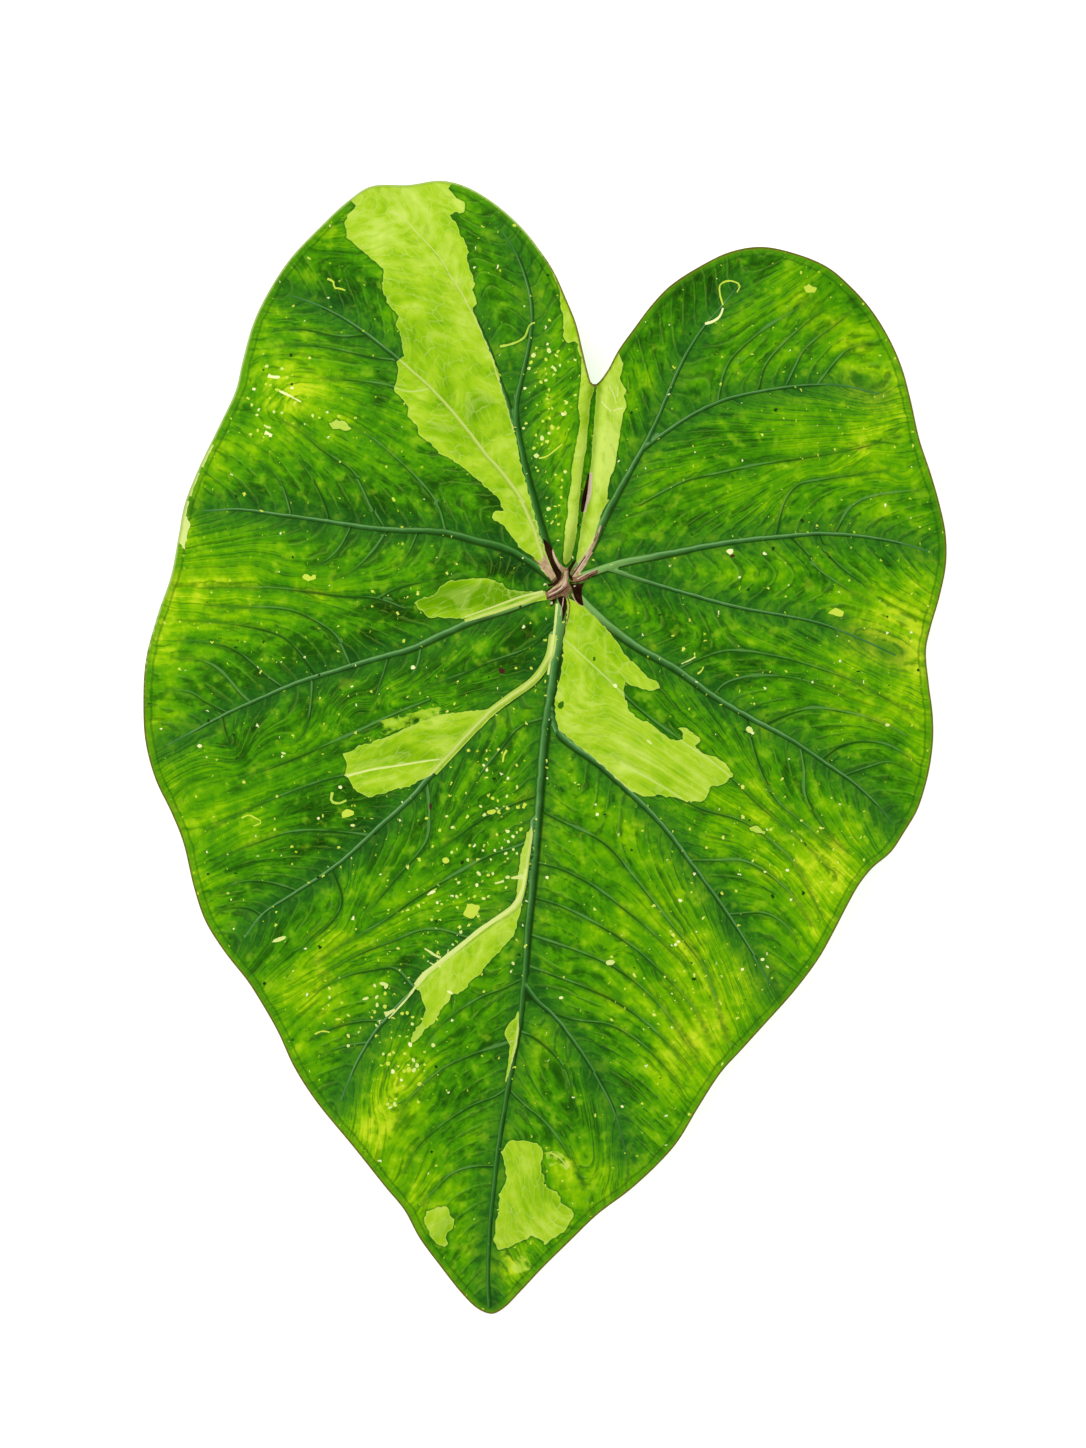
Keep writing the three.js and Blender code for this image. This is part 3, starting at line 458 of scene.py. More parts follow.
# Strokes by tone, in the order in which they are laid on: width, path, and how far the width varies
STROKES: dict[Tone, tuple[tuple[Any, ...], ...]] = {
    Tone.LIME: (
        ((8, 8), (553, 635, 549, 657, 534.6, 679.4, 510, 697.7, 490, 713, 462, 742, 434, 772), 0.0),
        ((6.5, 6), (
            530, 832, 526, 862, 523, 885, 516, 906, 500, 919, 472, 939, 445, 960, 424, 980, 416, 988,
        ), 0.06),
        ((9, 3), (546, 595.6, 523, 601.4, 490, 613.2, 465, 621), 0.0),
        ((2.4, 1.5), (500, 347, 510, 345, 520, 341, 525, 337, 530, 325, 535, 323)),
        ((3, 2), (333, 792, 332, 801, 340, 803, 347, 800)),
        ((2.4, 1.4), (428, 895, 432, 891, 437, 888)),
        ((1.8, 1.2), (550, 1152, 560, 1158, 568, 1168)),
    ),
    Tone.CREAM: (
        ((3, 5.5), (
            526, 868, 522, 890, 514, 904, 500, 915.5, 480, 929.5, 460, 946, 440, 962, 425, 974, 416, 985,
        ), 0.08),
        ((2.6, 1.2), (416, 986, 408, 997, 399, 1007, 389, 1018)),
        ((7, 1), (523, 876, 516, 877, 511, 877.4)),
        ((2.4, 1.2), (504, 880.4, 499, 882, 495, 882.8), 0.3),
        ((3, 1.6), (441, 957, 435, 954.5, 430, 951, 425, 948), 0.3),
        ((2.4, 1.2), (441, 966, 435, 964.6, 430, 962), 0.3),
        ((2, 5), (395, 1009, 388, 1013, 385, 1014)),
        ((2.2, 1.4), (347, 776, 370, 770, 395, 766, 420, 762, 440, 759)),
        ((2.4, 1.2), (543, 591.8, 523, 596.6, 490, 608.6, 465, 617.4), 0.0),
        ((1.2, 1.4), (601, 402, 606, 408, 611, 412)),
        ((1.4, 1.2), (613, 412, 618, 409.5, 623, 409)),
        ((1.2, 1), (609, 386, 613, 394, 616, 404)),
        ((1, 1), (618, 388, 617, 398)),
        ((2.6, 2.2), (557, 604, 554.5, 630, 551, 655, 548, 675), 0.1),
        ((1.6, 3.2), (213, 445, 206, 458, 202, 467)),
        ((2.4, 3.2), (199, 473, 193, 487, 190, 496)),
        ((2.6, 4), (188, 501, 185, 512, 183, 520)),
        ((3, 1.6), (176, 548, 170, 566, 164, 583)),
        ((2.4, 3), (483, 815.6, 486, 813.4), 0.3),
        ((2.4, 1.6), (551.5, 367, 554.5, 369, 556, 372), 0.3),
        ((1.4, 2.4), (264, 425, 268, 427.6, 271, 428), 0.3),
        ((1, 1.6), (681, 664, 690, 660, 695, 657), 0.3),
    ),
    Tone.TAN: (
        ((5.6, 1.6), (576, 572, 584, 560, 591, 549, 596.6, 537, 600.6, 526), 0.1),
        ((2.6, 4.0), (541, 566, 547, 573, 553, 579.5), 0.15),
        ((1.6, 2.4), (538, 560, 542, 566), 0.15),
        ((4, 7), (566.4, 571, 565.4, 579, 562, 586), 0.1),
        ((1.2, 2.6), (548, 592.6, 553, 589, 560, 585), 0.1),
        ((1.2, 0.6), (571.6, 594, 576, 602, 583, 607.5), 0.1),
    ),
    Tone.BROWN: (
        ((1.6, 1.6), (586.5, 368, 591.5, 382.5, 595, 387.5, 599, 382.5, 606, 371)),
        ((1.8, 1), (594, 542, 597, 536, 598, 533), 0.1),
        ((6, 4), (573, 581, 583, 578, 597, 572), 0.1),
        ((1.4, 0.8), (567, 596.4, 569.6, 604, 569, 614, 566, 626), 0.1),
    ),
    # Painted shadow lines in the creases of the hub
    Tone.HOLLOW: (
        ((0.9, 0.9), (571.5, 577, 578, 567.5, 585.5, 557), 0.1),
        ((1.0, 0.8), (570, 582.6, 577, 582.4, 585, 579.5, 592, 574.8), 0.1),
        ((0.8, 1.0), (546.5, 599, 553, 596.4, 561, 592.4, 567.5, 587), 0.15),
        ((1.2, 0.8), (546.4, 592.2, 552, 587.6, 557.5, 583, 561, 577.6), 0.1),
    ),
    # Painted highlights on the ribs of the hub
    Tone.SHINE: (
        ((1, 0.7), (573.5, 576.5, 580, 567, 588, 555), 0.1),
        ((1.2, 0.6), (577, 579.5, 586, 574.5, 597, 570), 0.1),
        ((0.8, 2.0), (548.5, 595.6, 555, 592.6, 561, 588.6, 565, 583), 0.15),
        ((1.6, 0.6), (564.6, 584, 566, 578, 567, 571.5), 0.15),
        ((1, 1), (552.8, 552, 555.6, 560, 560, 568), 0.1),
        ((1.2, 0.6), (563.4, 598, 562.4, 606, 560, 616), 0.1),
    ),
    Tone.YELLOW: (
        ((1.6, 1.4), (723, 305, 720, 294, 720, 285, 726, 281, 733, 281, 740, 285, 737, 292)),
        ((2, 1.4), (327, 278, 333, 281, 334, 287, 340, 288, 345, 290)),
        ((1.4, 1.2), (242, 818, 249, 815, 256, 818, 262, 822, 254, 826)),
        ((2, 1.4), (507, 750, 504, 755, 503, 762)),
        ((2.4, 3), (523, 808, 525.6, 803), 0.3),
        ((1.5, 1.2), (539, 459, 546, 457.5, 555, 451, 562, 445), 0.1),
        ((2, 1.4), (315, 1034, 322, 1031, 330, 1032)),
        ((2, 1.2), (697, 674, 701, 671, 703, 667), 0.3),
    ),
    Tone.WHITE: (
        ((2.4, 2), (705, 324, 714, 321, 720, 316, 723, 308)),
        ((3.4, 2.4), (268, 375.4, 273, 377, 280, 377), 0.3),
        ((2.2, 1.2), (279.5, 391, 290, 396, 301, 402), 0.3),
        ((3.6, 3), (265, 432.6, 269, 434, 272, 436), 0.3),
    ),
}

# Small blobs by tone: centre, length and width in pixels, and tilt in degrees
DOTS: dict[Tone, tuple[tuple[float, ...], ...]] = {
    Tone.YELLOW: (
        (394, 500, 5, 3, 60), (278, 390, 6, 3, 20), (348, 813, 15, 8, -15), (427, 818, 4, 3),
        (338, 1019, 6, 2.6), (491.5, 811.5, 9, 5, -15), (446, 860, 7, 6, 20), (549, 509, 4, 3, 20),
        (555, 507, 4, 1.8, 10), (559, 506, 3, 2), (552, 523, 5, 2, -50), (558.5, 525, 3, 3),
        (556, 517, 4, 1.6, -60),
    ),
    Tone.CREAM: (
        (610, 962, 9, 6, -10), (887, 725, 5, 3.5), (749, 730, 9, 6, 40), (649, 742, 8, 3, 40),
        (353, 825, 5, 3), (284, 753, 5, 2.5, 10), (479, 873, 6, 3, 45), (280, 939, 15, 4.5, -20),
        (384, 983.5, 9, 4, 10), (386.5, 986, 4, 5, 30), (366, 998, 7, 3, -20), (348.5, 1045.5, 4, 3.4),
        (395, 1104, 6, 3.6, 60), (390.5, 1107, 5, 2.6, -20), (558, 541, 3, 1.6),
    ),
    Tone.GREEN: (
        (594, 659, 3, 5), (561, 705, 6, 8, 30),
    ),
    Tone.WHITE: (
        (752, 733, 3.5, 3), (729.5, 552, 7, 6), (413.5, 667.5, 5, 4.5), (615, 686, 5, 4, 30),
        (319, 818, 3, 3), (432, 892, 9, 3.0, -25), (450, 991.6, 6, 3, 20), (341, 787, 4, 3.4),
        (200, 746, 5, 3.6), (597, 814, 3.4, 3.4), (680, 900, 4.4, 3.4, 20), (675, 944, 3.4, 3),
        (678, 941, 3.4, 3), (762, 959, 4, 3.4), (742, 969, 3.4, 3.4), (787, 870, 4, 3), (622, 1106, 3.4, 3),
        (561, 997, 4, 3.4), (484, 765, 3, 3), (487, 770, 3, 3), (508, 778, 3, 3), (547, 877, 3.4, 3.4),
        (551.5, 603.5, 2.6, 3.4),
    ),
    Tone.SPECK: (
        (732, 556.5, 6, 3, -25), (502, 671, 7, 6, 20), (431, 806, 2.6, 8),
    ),
    # A painted glint on the hub
    Tone.SHINE: (
        (574.5, 586.5, 2.4, 2),
    ),
}

# Flecks at random angles, by the tones that are drawn for them: column, row and size in pixels
FLECKS: dict[tuple[Tone, ...], tuple[tuple[float, float, float], ...]] = {
    (Tone.YELLOW, Tone.CREAM, Tone.YELLOW): (
        (493, 798, 3.4), (498, 800.5, 2.6), (507, 796, 3.4), (481, 806, 2.6), (497, 808, 2.6),
        (447, 816, 3), (453, 827, 3), (440, 830, 2.8), (518, 807, 3.4), (521, 829, 3.2), (517, 832, 2.2),
        (497, 834, 2.6), (513.5, 849, 2.6), (517, 853, 2.6), (506, 853, 2.8), (491, 859, 2.2),
        (470, 845, 2.6), (452, 852, 3.2), (433, 846, 3), (488.5, 874.5, 3.2), (493, 873, 2.6),
        (459, 882, 2.6), (475, 896, 3), (469, 898, 2.4), (484, 898, 3.2), (461, 894, 2.6), (457, 896, 3.4),
        (442, 903.5, 2.6), (507.5, 876.5, 3.6), (432, 919, 3), (453, 944, 2.4), (438, 952, 3.6),
        (484, 991, 2.6), (533.5, 356, 5), (549, 351, 5), (546, 360, 3), (558, 352, 3), (531, 363, 3.4),
        (529, 369, 3), (560, 366, 2.8), (554, 375, 2.6), (541, 383, 3.2), (546, 381, 2.8),
        (549, 390.5, 2.6), (552, 409, 2.4), (549.5, 419, 3.2), (543, 422, 2.8), (552, 428, 4.4),
        (558, 429, 3.2), (536, 436, 2.6), (542, 439, 4), (549, 434, 2.8), (542, 445, 2.6), (534, 449, 3.2),
        (538, 471.5, 2.6), (565, 473, 2.8), (562, 481, 2.4), (561.5, 488, 2.4), (561, 498, 2.6),
        (548, 509.5, 3.4), (375, 985, 3.2), (385.5, 993, 3.2), (377.5, 1004.5, 4), (385, 1006, 4.2),
        (375, 1011.5, 3.4), (372, 1017, 2.4), (376.5, 1025, 2.6), (402.5, 1013, 3.4), (407.5, 1012.5, 3.2),
        (413, 1016.5, 3), (383.5, 1053.5, 2.6), (405, 1053, 2.8), (388.5, 1063, 4), (381.5, 1065, 2.6),
        (409, 1069, 4.6), (414, 1069.5, 4.2), (404.5, 1070.5, 3.2), (425, 1064, 2.8), (419.5, 1083.5, 3.6),
        (396, 1098.5, 2.6), (282, 368.5, 2.8), (287, 377.5, 3.4), (266, 384, 2.6), (270.5, 385, 2.6),
        (295, 403, 3.6), (257, 415, 2.8), (282, 413, 2.2), (313, 416, 3), (319.5, 418, 2.4),
        (258, 430.5, 3),
    ),
    (Tone.CREAM, Tone.WHITE): (
        (508, 831, 3.2), (513, 836, 3.6), (508.5, 841, 3), (502, 847.5, 2.6), (495, 850, 2.4),
        (483, 850, 2.4), (468, 859.5, 3), (477, 884.5, 3), (437.5, 902, 2.8), (461, 931.5, 3),
        (513, 962.5, 3), (511, 971, 2.2), (525, 389, 2.6), (575, 360.5, 2.6), (563, 415, 3.2),
        (523.5, 429, 2.4), (536.5, 456.5, 4.2), (377, 996.5, 4), (412.5, 1023.5, 3), (410.5, 1044, 3.6),
        (433.5, 1044.5, 4), (413.5, 1059.5, 3.6), (417.5, 1065, 3.8), (393, 1071, 4.4),
        (401.5, 1079.5, 2.6), (266.5, 366, 3.4), (254, 389, 3), (292, 388, 3.4), (274, 412, 2.8),
        (270.5, 436, 3),
    ),
}

# Zones of the green by centre, half sizes, how much lighter they are, and tilt
ZONES = tuple(Zone(*row) for row in (
    (285, 388, 62, 34, 0.17, 25), (300, 410, 60, 30, 0.14, 30), (250, 475, 50, 40, 0.05),
    (212, 590, 50, 48, 0.2), (278, 412, 16, 24, -0.12), (292, 455, 24, 30, -0.1), (385, 600, 34, 20, -0.22),
    (345, 512, 60, 24, -0.08), (375, 340, 20, 50, -0.1), (922, 615, 18, 40, 0.14), (918, 715, 20, 40, 0.14),
    (668, 895, 22, 24, 0.12), (526, 870, 18, 66, 0.13), (492, 724, 30, 16, 0.15), (290, 312, 22, 22, 0.08),
    (498, 1262, 14, 22, 0.12), (395, 975, 30, 16, -0.08), (520, 415, 24, 30, -0.1),
    (400, 612, 40, 14, -0.12), (240, 438, 24, 24, 0.12), (850, 755, 20, 16, -0.12),
    (885, 702, 16, 12, -0.14), (832, 885, 18, 30, 0.16), (878, 845, 16, 14, 0.14),
    (700, 812, 24, 20, -0.09), (665, 965, 20, 18, -0.1), (560, 932, 20, 20, 0.1), (445, 1085, 24, 40, 0.09),
    (870, 315, 20, 20, -0.14), (640, 565, 30, 20, 0.08), (600, 818, 16, 14, 0.1), (585, 745, 20, 30, 0.08),
    (300, 585, 70, 26, 0.05), (350, 520, 150, 34, -0.08), (825, 872, 56, 52, 0.2), (905, 632, 40, 50, 0.3),
    (855, 600, 50, 40, 0.12), (850, 420, 70, 30, 0.04), (885, 480, 50, 45, 0.1), (760, 440, 100, 36, 0.07),
    (800, 320, 80, 40, 0.1), (800, 500, 90, 24, 0.08), (742, 985, 40, 40, 0.15), (692, 1040, 40, 60, 0.28),
    (650, 930, 60, 50, 0.14), (722, 822, 70, 46, 0.1), (765, 862, 50, 36, 0.06), (340, 950, 60, 40, 0.14),
    (300, 1010, 40, 40, 0.12), (430, 880, 60, 45, 0.06), (380, 1130, 36, 60, 0.26),
    (420, 1190, 36, 40, 0.24), (240, 820, 60, 45, 0.08), (300, 622, 70, 20, 0.06),
    (165, 700, 34, 140, 0.08), (515, 1265, 20, 20, 0.26), (560, 1180, 30, 40, 0.14),
    (540, 400, 26, 90, 0.08), (330, 270, 55, 46, -0.08), (512, 270, 30, 60, -0.08),
    (740, 272, 70, 26, -0.1), (700, 490, 60, 34, 0.02), (640, 600, 60, 46, -0.12),
    (720, 600, 80, 40, -0.08), (870, 755, 50, 36, -0.05), (730, 700, 60, 34, -0.1),
    (210, 745, 50, 40, -0.1), (350, 845, 60, 34, -0.16, -35), (450, 752, 50, 30, -0.12),
    (575, 860, 40, 180, -0.05), (600, 1100, 50, 50, -0.12), (450, 1120, 40, 60, -0.13),
    (480, 1050, 40, 40, -0.08), (520, 645, 34, 36, -0.16), (470, 665, 50, 20, -0.12),
    (255, 940, 30, 30, -0.1), (740, 930, 26, 26, -0.12), (680, 845, 26, 26, -0.12),
    (300, 670, 90, 50, -0.09), (380, 795, 60, 30, -0.08), (195, 825, 30, 56, 0.12),
    (290, 885, 60, 40, -0.08), (162, 620, 16, 80, 0.12), (195, 500, 20, 40, 0.1), (410, 1085, 30, 40, 0.14),
    (880, 390, 40, 80, 0.16), (785, 275, 40, 24, 0.1), (680, 320, 30, 40, -0.1), (880, 570, 50, 36, -0.08),
    (860, 705, 50, 36, 0.17), (560, 800, 26, 80, 0.09), (800, 885, 50, 50, 0.05), (670, 965, 46, 70, 0.1),
    (752, 948, 24, 20, -0.08), (595, 1165, 30, 40, 0.12), (340, 240, 30, 30, 0.17),
    (508, 465, 18, 76, -0.18), (350, 515, 150, 30, -0.06), (495, 563, 34, 14, -0.2),
    (520, 645, 34, 30, -0.1), (310, 665, 80, 40, -0.05), (335, 785, 80, 40, -0.07),
    (400, 880, 40, 50, -0.05), (478, 830, 16, 30, -0.1), (645, 958, 30, 26, -0.12),
    (712, 655, 24, 24, -0.1), (745, 265, 60, 20, -0.16), (850, 298, 24, 24, -0.18),
    (790, 405, 40, 26, -0.08), (700, 440, 40, 30, -0.08), (845, 355, 34, 24, 0.08),
    (908, 440, 18, 50, 0.08), (848, 655, 30, 22, 0.12), (895, 735, 26, 30, 0.09), (750, 803, 40, 36, 0.07),
    (740, 1002, 28, 26, 0.1), (310, 975, 26, 20, 0.1), (305, 1040, 26, 20, 0.06), (478, 915, 26, 22, 0.1),
    (562, 430, 14, 40, 0.14), (168, 570, 12, 60, 0.14), (280, 365, 28, 18, 0.1), (425, 1070, 22, 24, 0.12),
    (500, 505, 28, 22, -0.2), (512, 572, 26, 12, -0.3), (330, 660, 70, 30, -0.08),
    (300, 712, 28, 18, -0.08), (246, 408, 18, 16, -0.16), (345, 310, 40, 26, -0.08),
    (700, 300, 56, 34, -0.12), (790, 292, 24, 28, 0.14), (862, 345, 26, 18, 0.1), (562, 440, 12, 50, 0.08),
    (915, 560, 26, 40, -0.04), (885, 685, 16, 14, -0.16), (872, 716, 34, 18, 0.08),
    (645, 850, 20, 22, 0.14), (676, 692, 22, 16, 0.1), (600, 812, 16, 16, 0.1),
    (815, 935, 30, 26, 0.08), (298, 1000, 26, 18, 0.08),
    (315, 916, 26, 20, -0.1), (268, 862, 40, 24, -0.07), (372, 962, 30, 14, -0.1),
    (365, 1075, 20, 22, -0.13), (405, 1160, 24, 22, -0.13), (455, 1160, 20, 20, 0.06),
    (655, 1120, 30, 40, 0.1), (590, 1160, 20, 24, 0.06), (530, 1270, 16, 14, -0.12),
    (508, 765, 18, 22, -0.12), (480, 845, 14, 22, -0.1), (705, 527, 75, 10, -0.08, -3),
    (745, 620, 26, 14, 0.1), (560, 1050, 40, 40, 0.05), (650, 620, 50, 30, 0.07), (195, 505, 16, 30, 0.08),
    (430, 1110, 22, 16, 0.08), (690, 945, 20, 18, 0.1),
))

# Greener and paler zones inside the pale patches
LIME_ZONES = tuple(Zone(*row) for row in (
    (410, 215, 50, 34, 0.12), (476, 597, 60, 14, -0.72), (470, 430, 46, 70, -0.18, -50),
    (410, 335, 34, 44, -0.26), (425, 602, 22, 12, -0.45), (455, 385, 34, 30, -0.2),
    (385, 762, 40, 24, -0.22), (600, 480, 30, 70, 0.32), (410, 752, 26, 10, -0.3, -10),
    (470, 730, 20, 8, -0.2, -30), (385, 780, 24, 8, 0.1), (525, 1200, 30, 40, -0.12),
    (440, 1226, 16, 16, -0.1), (500, 940, 20, 20, -0.12), (450, 975, 24, 16, -0.06),
    (620, 740, 60, 30, 0.06, 30), (590, 650, 22, 34, -0.26), (612, 450, 14, 70, 0.14),
    (570, 535, 12, 50, 0.24), (480, 385, 16, 30, -0.2), (388, 330, 16, 40, -0.28), (505, 588, 16, 10, -0.45),
    (500, 500, 20, 20, -0.2), (512, 588, 20, 8, -0.35), (485, 722, 20, 14, 0.15), (524, 870, 10, 50, 0.2),
))

# Where specks lie thickest
SPECK_ZONES = tuple(Zone(*row) for row in (
    (548, 410, 24, 80, 1.0), (510, 815, 40, 90, 0.9), (440, 915, 50, 50, 1.0), (410, 1040, 30, 50, 1.0),
    (380, 1010, 40, 40, 0.8), (700, 670, 30, 26, 0.6), (690, 980, 60, 60, 0.5), (420, 700, 60, 34, 0.6),
    (260, 400, 60, 50, 0.5), (400, 600, 60, 40, 0.3), (840, 500, 70, 60, 0.3), (780, 840, 70, 50, 0.3),
))

# The blade rests on the outer corner of each lobe and near the tip
CONTACTS: Path = (296, 268, 866, 318, 490, 1297)

# The hub, where the veins meet over the stalk
HUB: Path = (565, 585)


# Spacing of mesh points in millimetres
MARGIN_STEP = 0.9
VEIN_STEP = 1.0
SIDE_STEP = 1.2
PATCH_STEP = 0.8
STROKE_STEP = 0.9

# Corners of a dot and how far they may lie out, and a fleck's length and width, as shares of its size
DOT_SIDES = 8
DOT_RAGGED = (0.8, 1.15)
FLECK_LENGTH = (1.1, 1.4)
FLECK_WIDTH = (0.8, 1.1)

# How far a side vein gets outwards along its primary vein for each millimetre away from it
SIDE_LEAN = 1.1

# Distance between the minor veins that run beside the side veins, in millimetres
MINOR_PITCH = 4.4

# Distance of the vein that runs along the margin, in millimetres
MARGIN_VEIN = 2.1

# The side of a vein that faces the upper left of the picture, from where the light is taken to come; veins
# and side veins are painted lighter on this side and darker on the other
LIGHT_SIDE = np.array((-0.5, 0.85))

# How far marks of the hub stand up or lie sunk, in millimetres
HUB_RELIEF = {Tone.BROWN: 0.9, Tone.TAN: 0.5, Tone.HOLLOW: -1.0}

# Refractive index of the waxy skin
WAX_IOR = 1.4

# Most pairs of a point and a piece of a line that are measured at once, so that memory lasts
PAIRS_AT_ONCE = 2_000_000

# Stands in for a length of nothing that something is divided by
TINY = 1e-12

SEED = 20

# Measured fields that the finishes read from the mesh
FIELDS_FOR_SKIN = (
    "vein", "spread", "lit", "glow", "border", "side", "side_lit", "side_end", "edge", "seam", "hub",
    "zone", "lime_zone", "specks", "grain", "run",
)


class Plan:
    """Turns paths of the picture into the leaf's plan, in millimetres round the part's origin."""

    def __init__(self, picture: Picture) -> None:
        """Lay out the outline first, because its own box fixes the origin.

        Args:
            picture: size and scale of the reference picture.
        """
        self.picture = picture
        self.origin = np.zeros(2)
        rough = self.path(OUTLINE, closed=True)
        self.origin = (rough.min(axis=0) + rough.max(axis=0)) / 2.0

    def points(self, pixels: Path | np.ndarray) -> np.ndarray:
        """Place single points.

        Args:
            pixels: columns and rows of the picture in turn.

        Returns:
            One row of X and Y in millimetres for each point.
        """
        places = np.reshape(pixels, (-1, 2)) * (1.0, -1.0)
        return places * self.picture.pixel - self.origin

    def path(self, pixels: Path, closed: bool = False, substeps: int = 16) -> np.ndarray:
        """Draw a smooth centripetal curve through plotted points.

        Args:
            pixels: the plotted points.
            closed: whether the curve returns to its start.
            substeps: pieces between one plotted point and the next.

        Returns:
            The curve's points in millimetres. A closed curve repeats its first point at the end.
        """
        knots = self.points(pixels)
        count = len(knots)
        if closed:
            before, after = np.roll(knots, 1, axis=0), np.roll(knots, -2, axis=0)
            starts, ends = knots, np.roll(knots, -1, axis=0)
        else:
            starts, ends = knots[:-1], knots[1:]
            before = np.vstack([2 * knots[:1] - knots[1:2], knots[:-2]])
            after = np.vstack([knots[2:], 2 * knots[-1:] - knots[-2:-1]])
            count -= 1
        share = np.linspace(0.0, 1.0, substeps, endpoint=False)[:, None]
        pieces = []
        for i in range(count):
            p0, p1, p2, p3 = before[i], starts[i], ends[i], after[i]
            t0 = np.linalg.norm(p1 - p0) ** 0.5
            t1 = np.linalg.norm(p2 - p1) ** 0.5
            t2 = np.linalg.norm(p3 - p2) ** 0.5
            slope1 = ((p1 - p0) / t0 - (p2 - p0) / (t0 + t1) + (p2 - p1) / t1) * t1
            slope2 = ((p2 - p1) / t1 - (p3 - p1) / (t1 + t2) + (p3 - p2) / t2) * t1
            cubic = 2 * p1 - 2 * p2 + slope1 + slope2
            square = -3 * p1 + 3 * p2 - 2 * slope1 - slope2
            pieces.append(p1 + slope1 * share + square * share**2 + cubic * share**3)
        pieces.append((starts[:1] if closed else ends[-1:]))
        return np.vstack(pieces)


def spaced(line: np.ndarray, step: float) -> np.ndarray:
    """Walk along a line in even steps.

    Args:
        line: points of the line.
        step: about how far to go in one step; the steps are made to fit the line's length.

    Returns:
        Evenly spaced points, both ends included.
    """
    run = np.concatenate([[0.0], np.cumsum(np.linalg.norm(np.diff(line, axis=0), axis=1))])
    count = max(2, round(run[-1] / step))
    stops = np.linspace(0.0, run[-1], count + 1)
    return np.column_stack([np.interp(stops, run, line[:, 0]), np.interp(stops, run, line[:, 1])])


def beside(line: np.ndarray, shift: np.ndarray | float) -> np.ndarray:
    """Move each point of a line sideways, to the left of its heading.

    Args:
        line: points of the line.
        shift: how far, one number or one for each point.

    Returns:
        The moved points.
    """
    heading = np.gradient(line, axis=0)
    heading /= np.maximum(np.linalg.norm(heading, axis=1), TINY)[:, None]
    left = np.column_stack([-heading[:, 1], heading[:, 0]])
    return line + left * np.broadcast_to(np.asarray(shift, dtype=float), (len(line),))[:, None]


def back_to_start(loop: np.ndarray) -> np.ndarray:
    """Return a loop's corners with the first one repeated at the end."""
    return np.vstack([loop, loop[:1]])


def run_on(line: np.ndarray, step: float, count: int) -> np.ndarray:
    """Lengthen a line straight ahead from its end.

    Args:
        line: points of the line.
        step: distance between the new points.
        count: how many points to add.

    Returns:
        The longer line.
    """
    ahead = line[-1] - line[-4]
    ahead = ahead / np.linalg.norm(ahead) * step
    return np.vstack([line, line[-1] + ahead * np.arange(1, count + 1)[:, None]])


@dataclass(frozen=True)
class Nearest:
    """What lies nearest on a line: distance, place along it from 0 to 1, and the offset from it."""

    distance: np.ndarray
    along: np.ndarray
    offset: np.ndarray


def nearest_on_line(points: np.ndarray, line: np.ndarray, reach: float = math.inf) -> Nearest:
    """Find the nearest place on a line for each point.

    Args:
        points: the points asked about.
        line: points of the line.
        reach: points further than this from the line's box aren't measured and get this distance.

    Returns:
        The nearest distances, places and offsets.
    """
    distance = np.full(len(points), reach)
    along = np.zeros(len(points))
    offset = np.zeros((len(points), 2))
    inside = np.all((points > line.min(axis=0) - reach) & (points < line.max(axis=0) + reach), axis=1)
    asked = np.flatnonzero(inside)
    start, step = line[:-1], np.diff(line, axis=0)
    square = np.maximum((step**2).sum(axis=1), TINY)
    block = max(1, PAIRS_AT_ONCE // len(start))
    for low in range(0, len(asked), block):
        chosen = asked[low : low + block]
        gap = points[chosen][:, None, :] - start[None, :, :]
        share = np.clip((gap * step).sum(axis=2) / square, 0.0, 1.0)
        gap -= share[..., None] * step
        reach_squared = (gap**2).sum(axis=2)
        best = reach_squared.argmin(axis=1)
        rows = np.arange(len(chosen))
        distance[chosen] = np.sqrt(reach_squared[rows, best])
        along[chosen] = (best + share[rows, best]) / len(start)
        offset[chosen] = gap[rows, best]
    return Nearest(distance, along, offset)


def inside_loop(points: np.ndarray, loop: np.ndarray) -> np.ndarray:
    """Tell which points lie inside a closed loop.

    Args:
        points: the points asked about.
        loop: corners of the loop; the last one joins the first.

    Returns:
        True for each point inside.
    """
    result = np.zeros(len(points), dtype=bool)
    near = np.all((points >= loop.min(axis=0)) & (points <= loop.max(axis=0)), axis=1)
    asked = np.flatnonzero(near)
    a, b = loop, np.roll(loop, -1, axis=0)
    rise = np.where(b[:, 1] == a[:, 1], TINY, b[:, 1] - a[:, 1])
    block = max(1, PAIRS_AT_ONCE // len(loop))
    for low in range(0, len(asked), block):
        chosen = asked[low : low + block]
        x, y = points[chosen, 0][:, None], points[chosen, 1][:, None]
        spans = (a[:, 1] > y) != (b[:, 1] > y)
        left = x < a[:, 0] + (y - a[:, 1]) * (b[:, 0] - a[:, 0]) / rise
        result[chosen] = (spans & left).sum(axis=1) % 2 == 1
    return result


def bell(distance: np.ndarray | float, reach: np.ndarray | float) -> np.ndarray:
    """Return 1 at no distance, falling off smoothly over the reach."""
    return np.exp(-((distance / reach) ** 2))


def fade(distance: np.ndarray, full: float, none: float) -> np.ndarray:
    """Return 1 up to the distance full and 0 from the distance none on, smooth between."""
    share = np.clip((none - distance) / (none - full), 0.0, 1.0)
    return share * share * (3.0 - 2.0 * share)


def linear(colour: str) -> tuple[float, float, float, float]:
    """Turn an sRGB hex value into a linear colour.

    Args:
        colour: six hex digits after a hash sign.

    Returns:
        Linear red, green and blue, and an alpha of 1.
    """
    channels = [int(colour[i : i + 2], 16) / 255.0 for i in (1, 3, 5)]
    red, green, blue = (c / 12.92 if c <= 0.04045 else ((c + 0.055) / 1.055) ** 2.4 for c in channels)
    return (red, green, blue, 1.0)


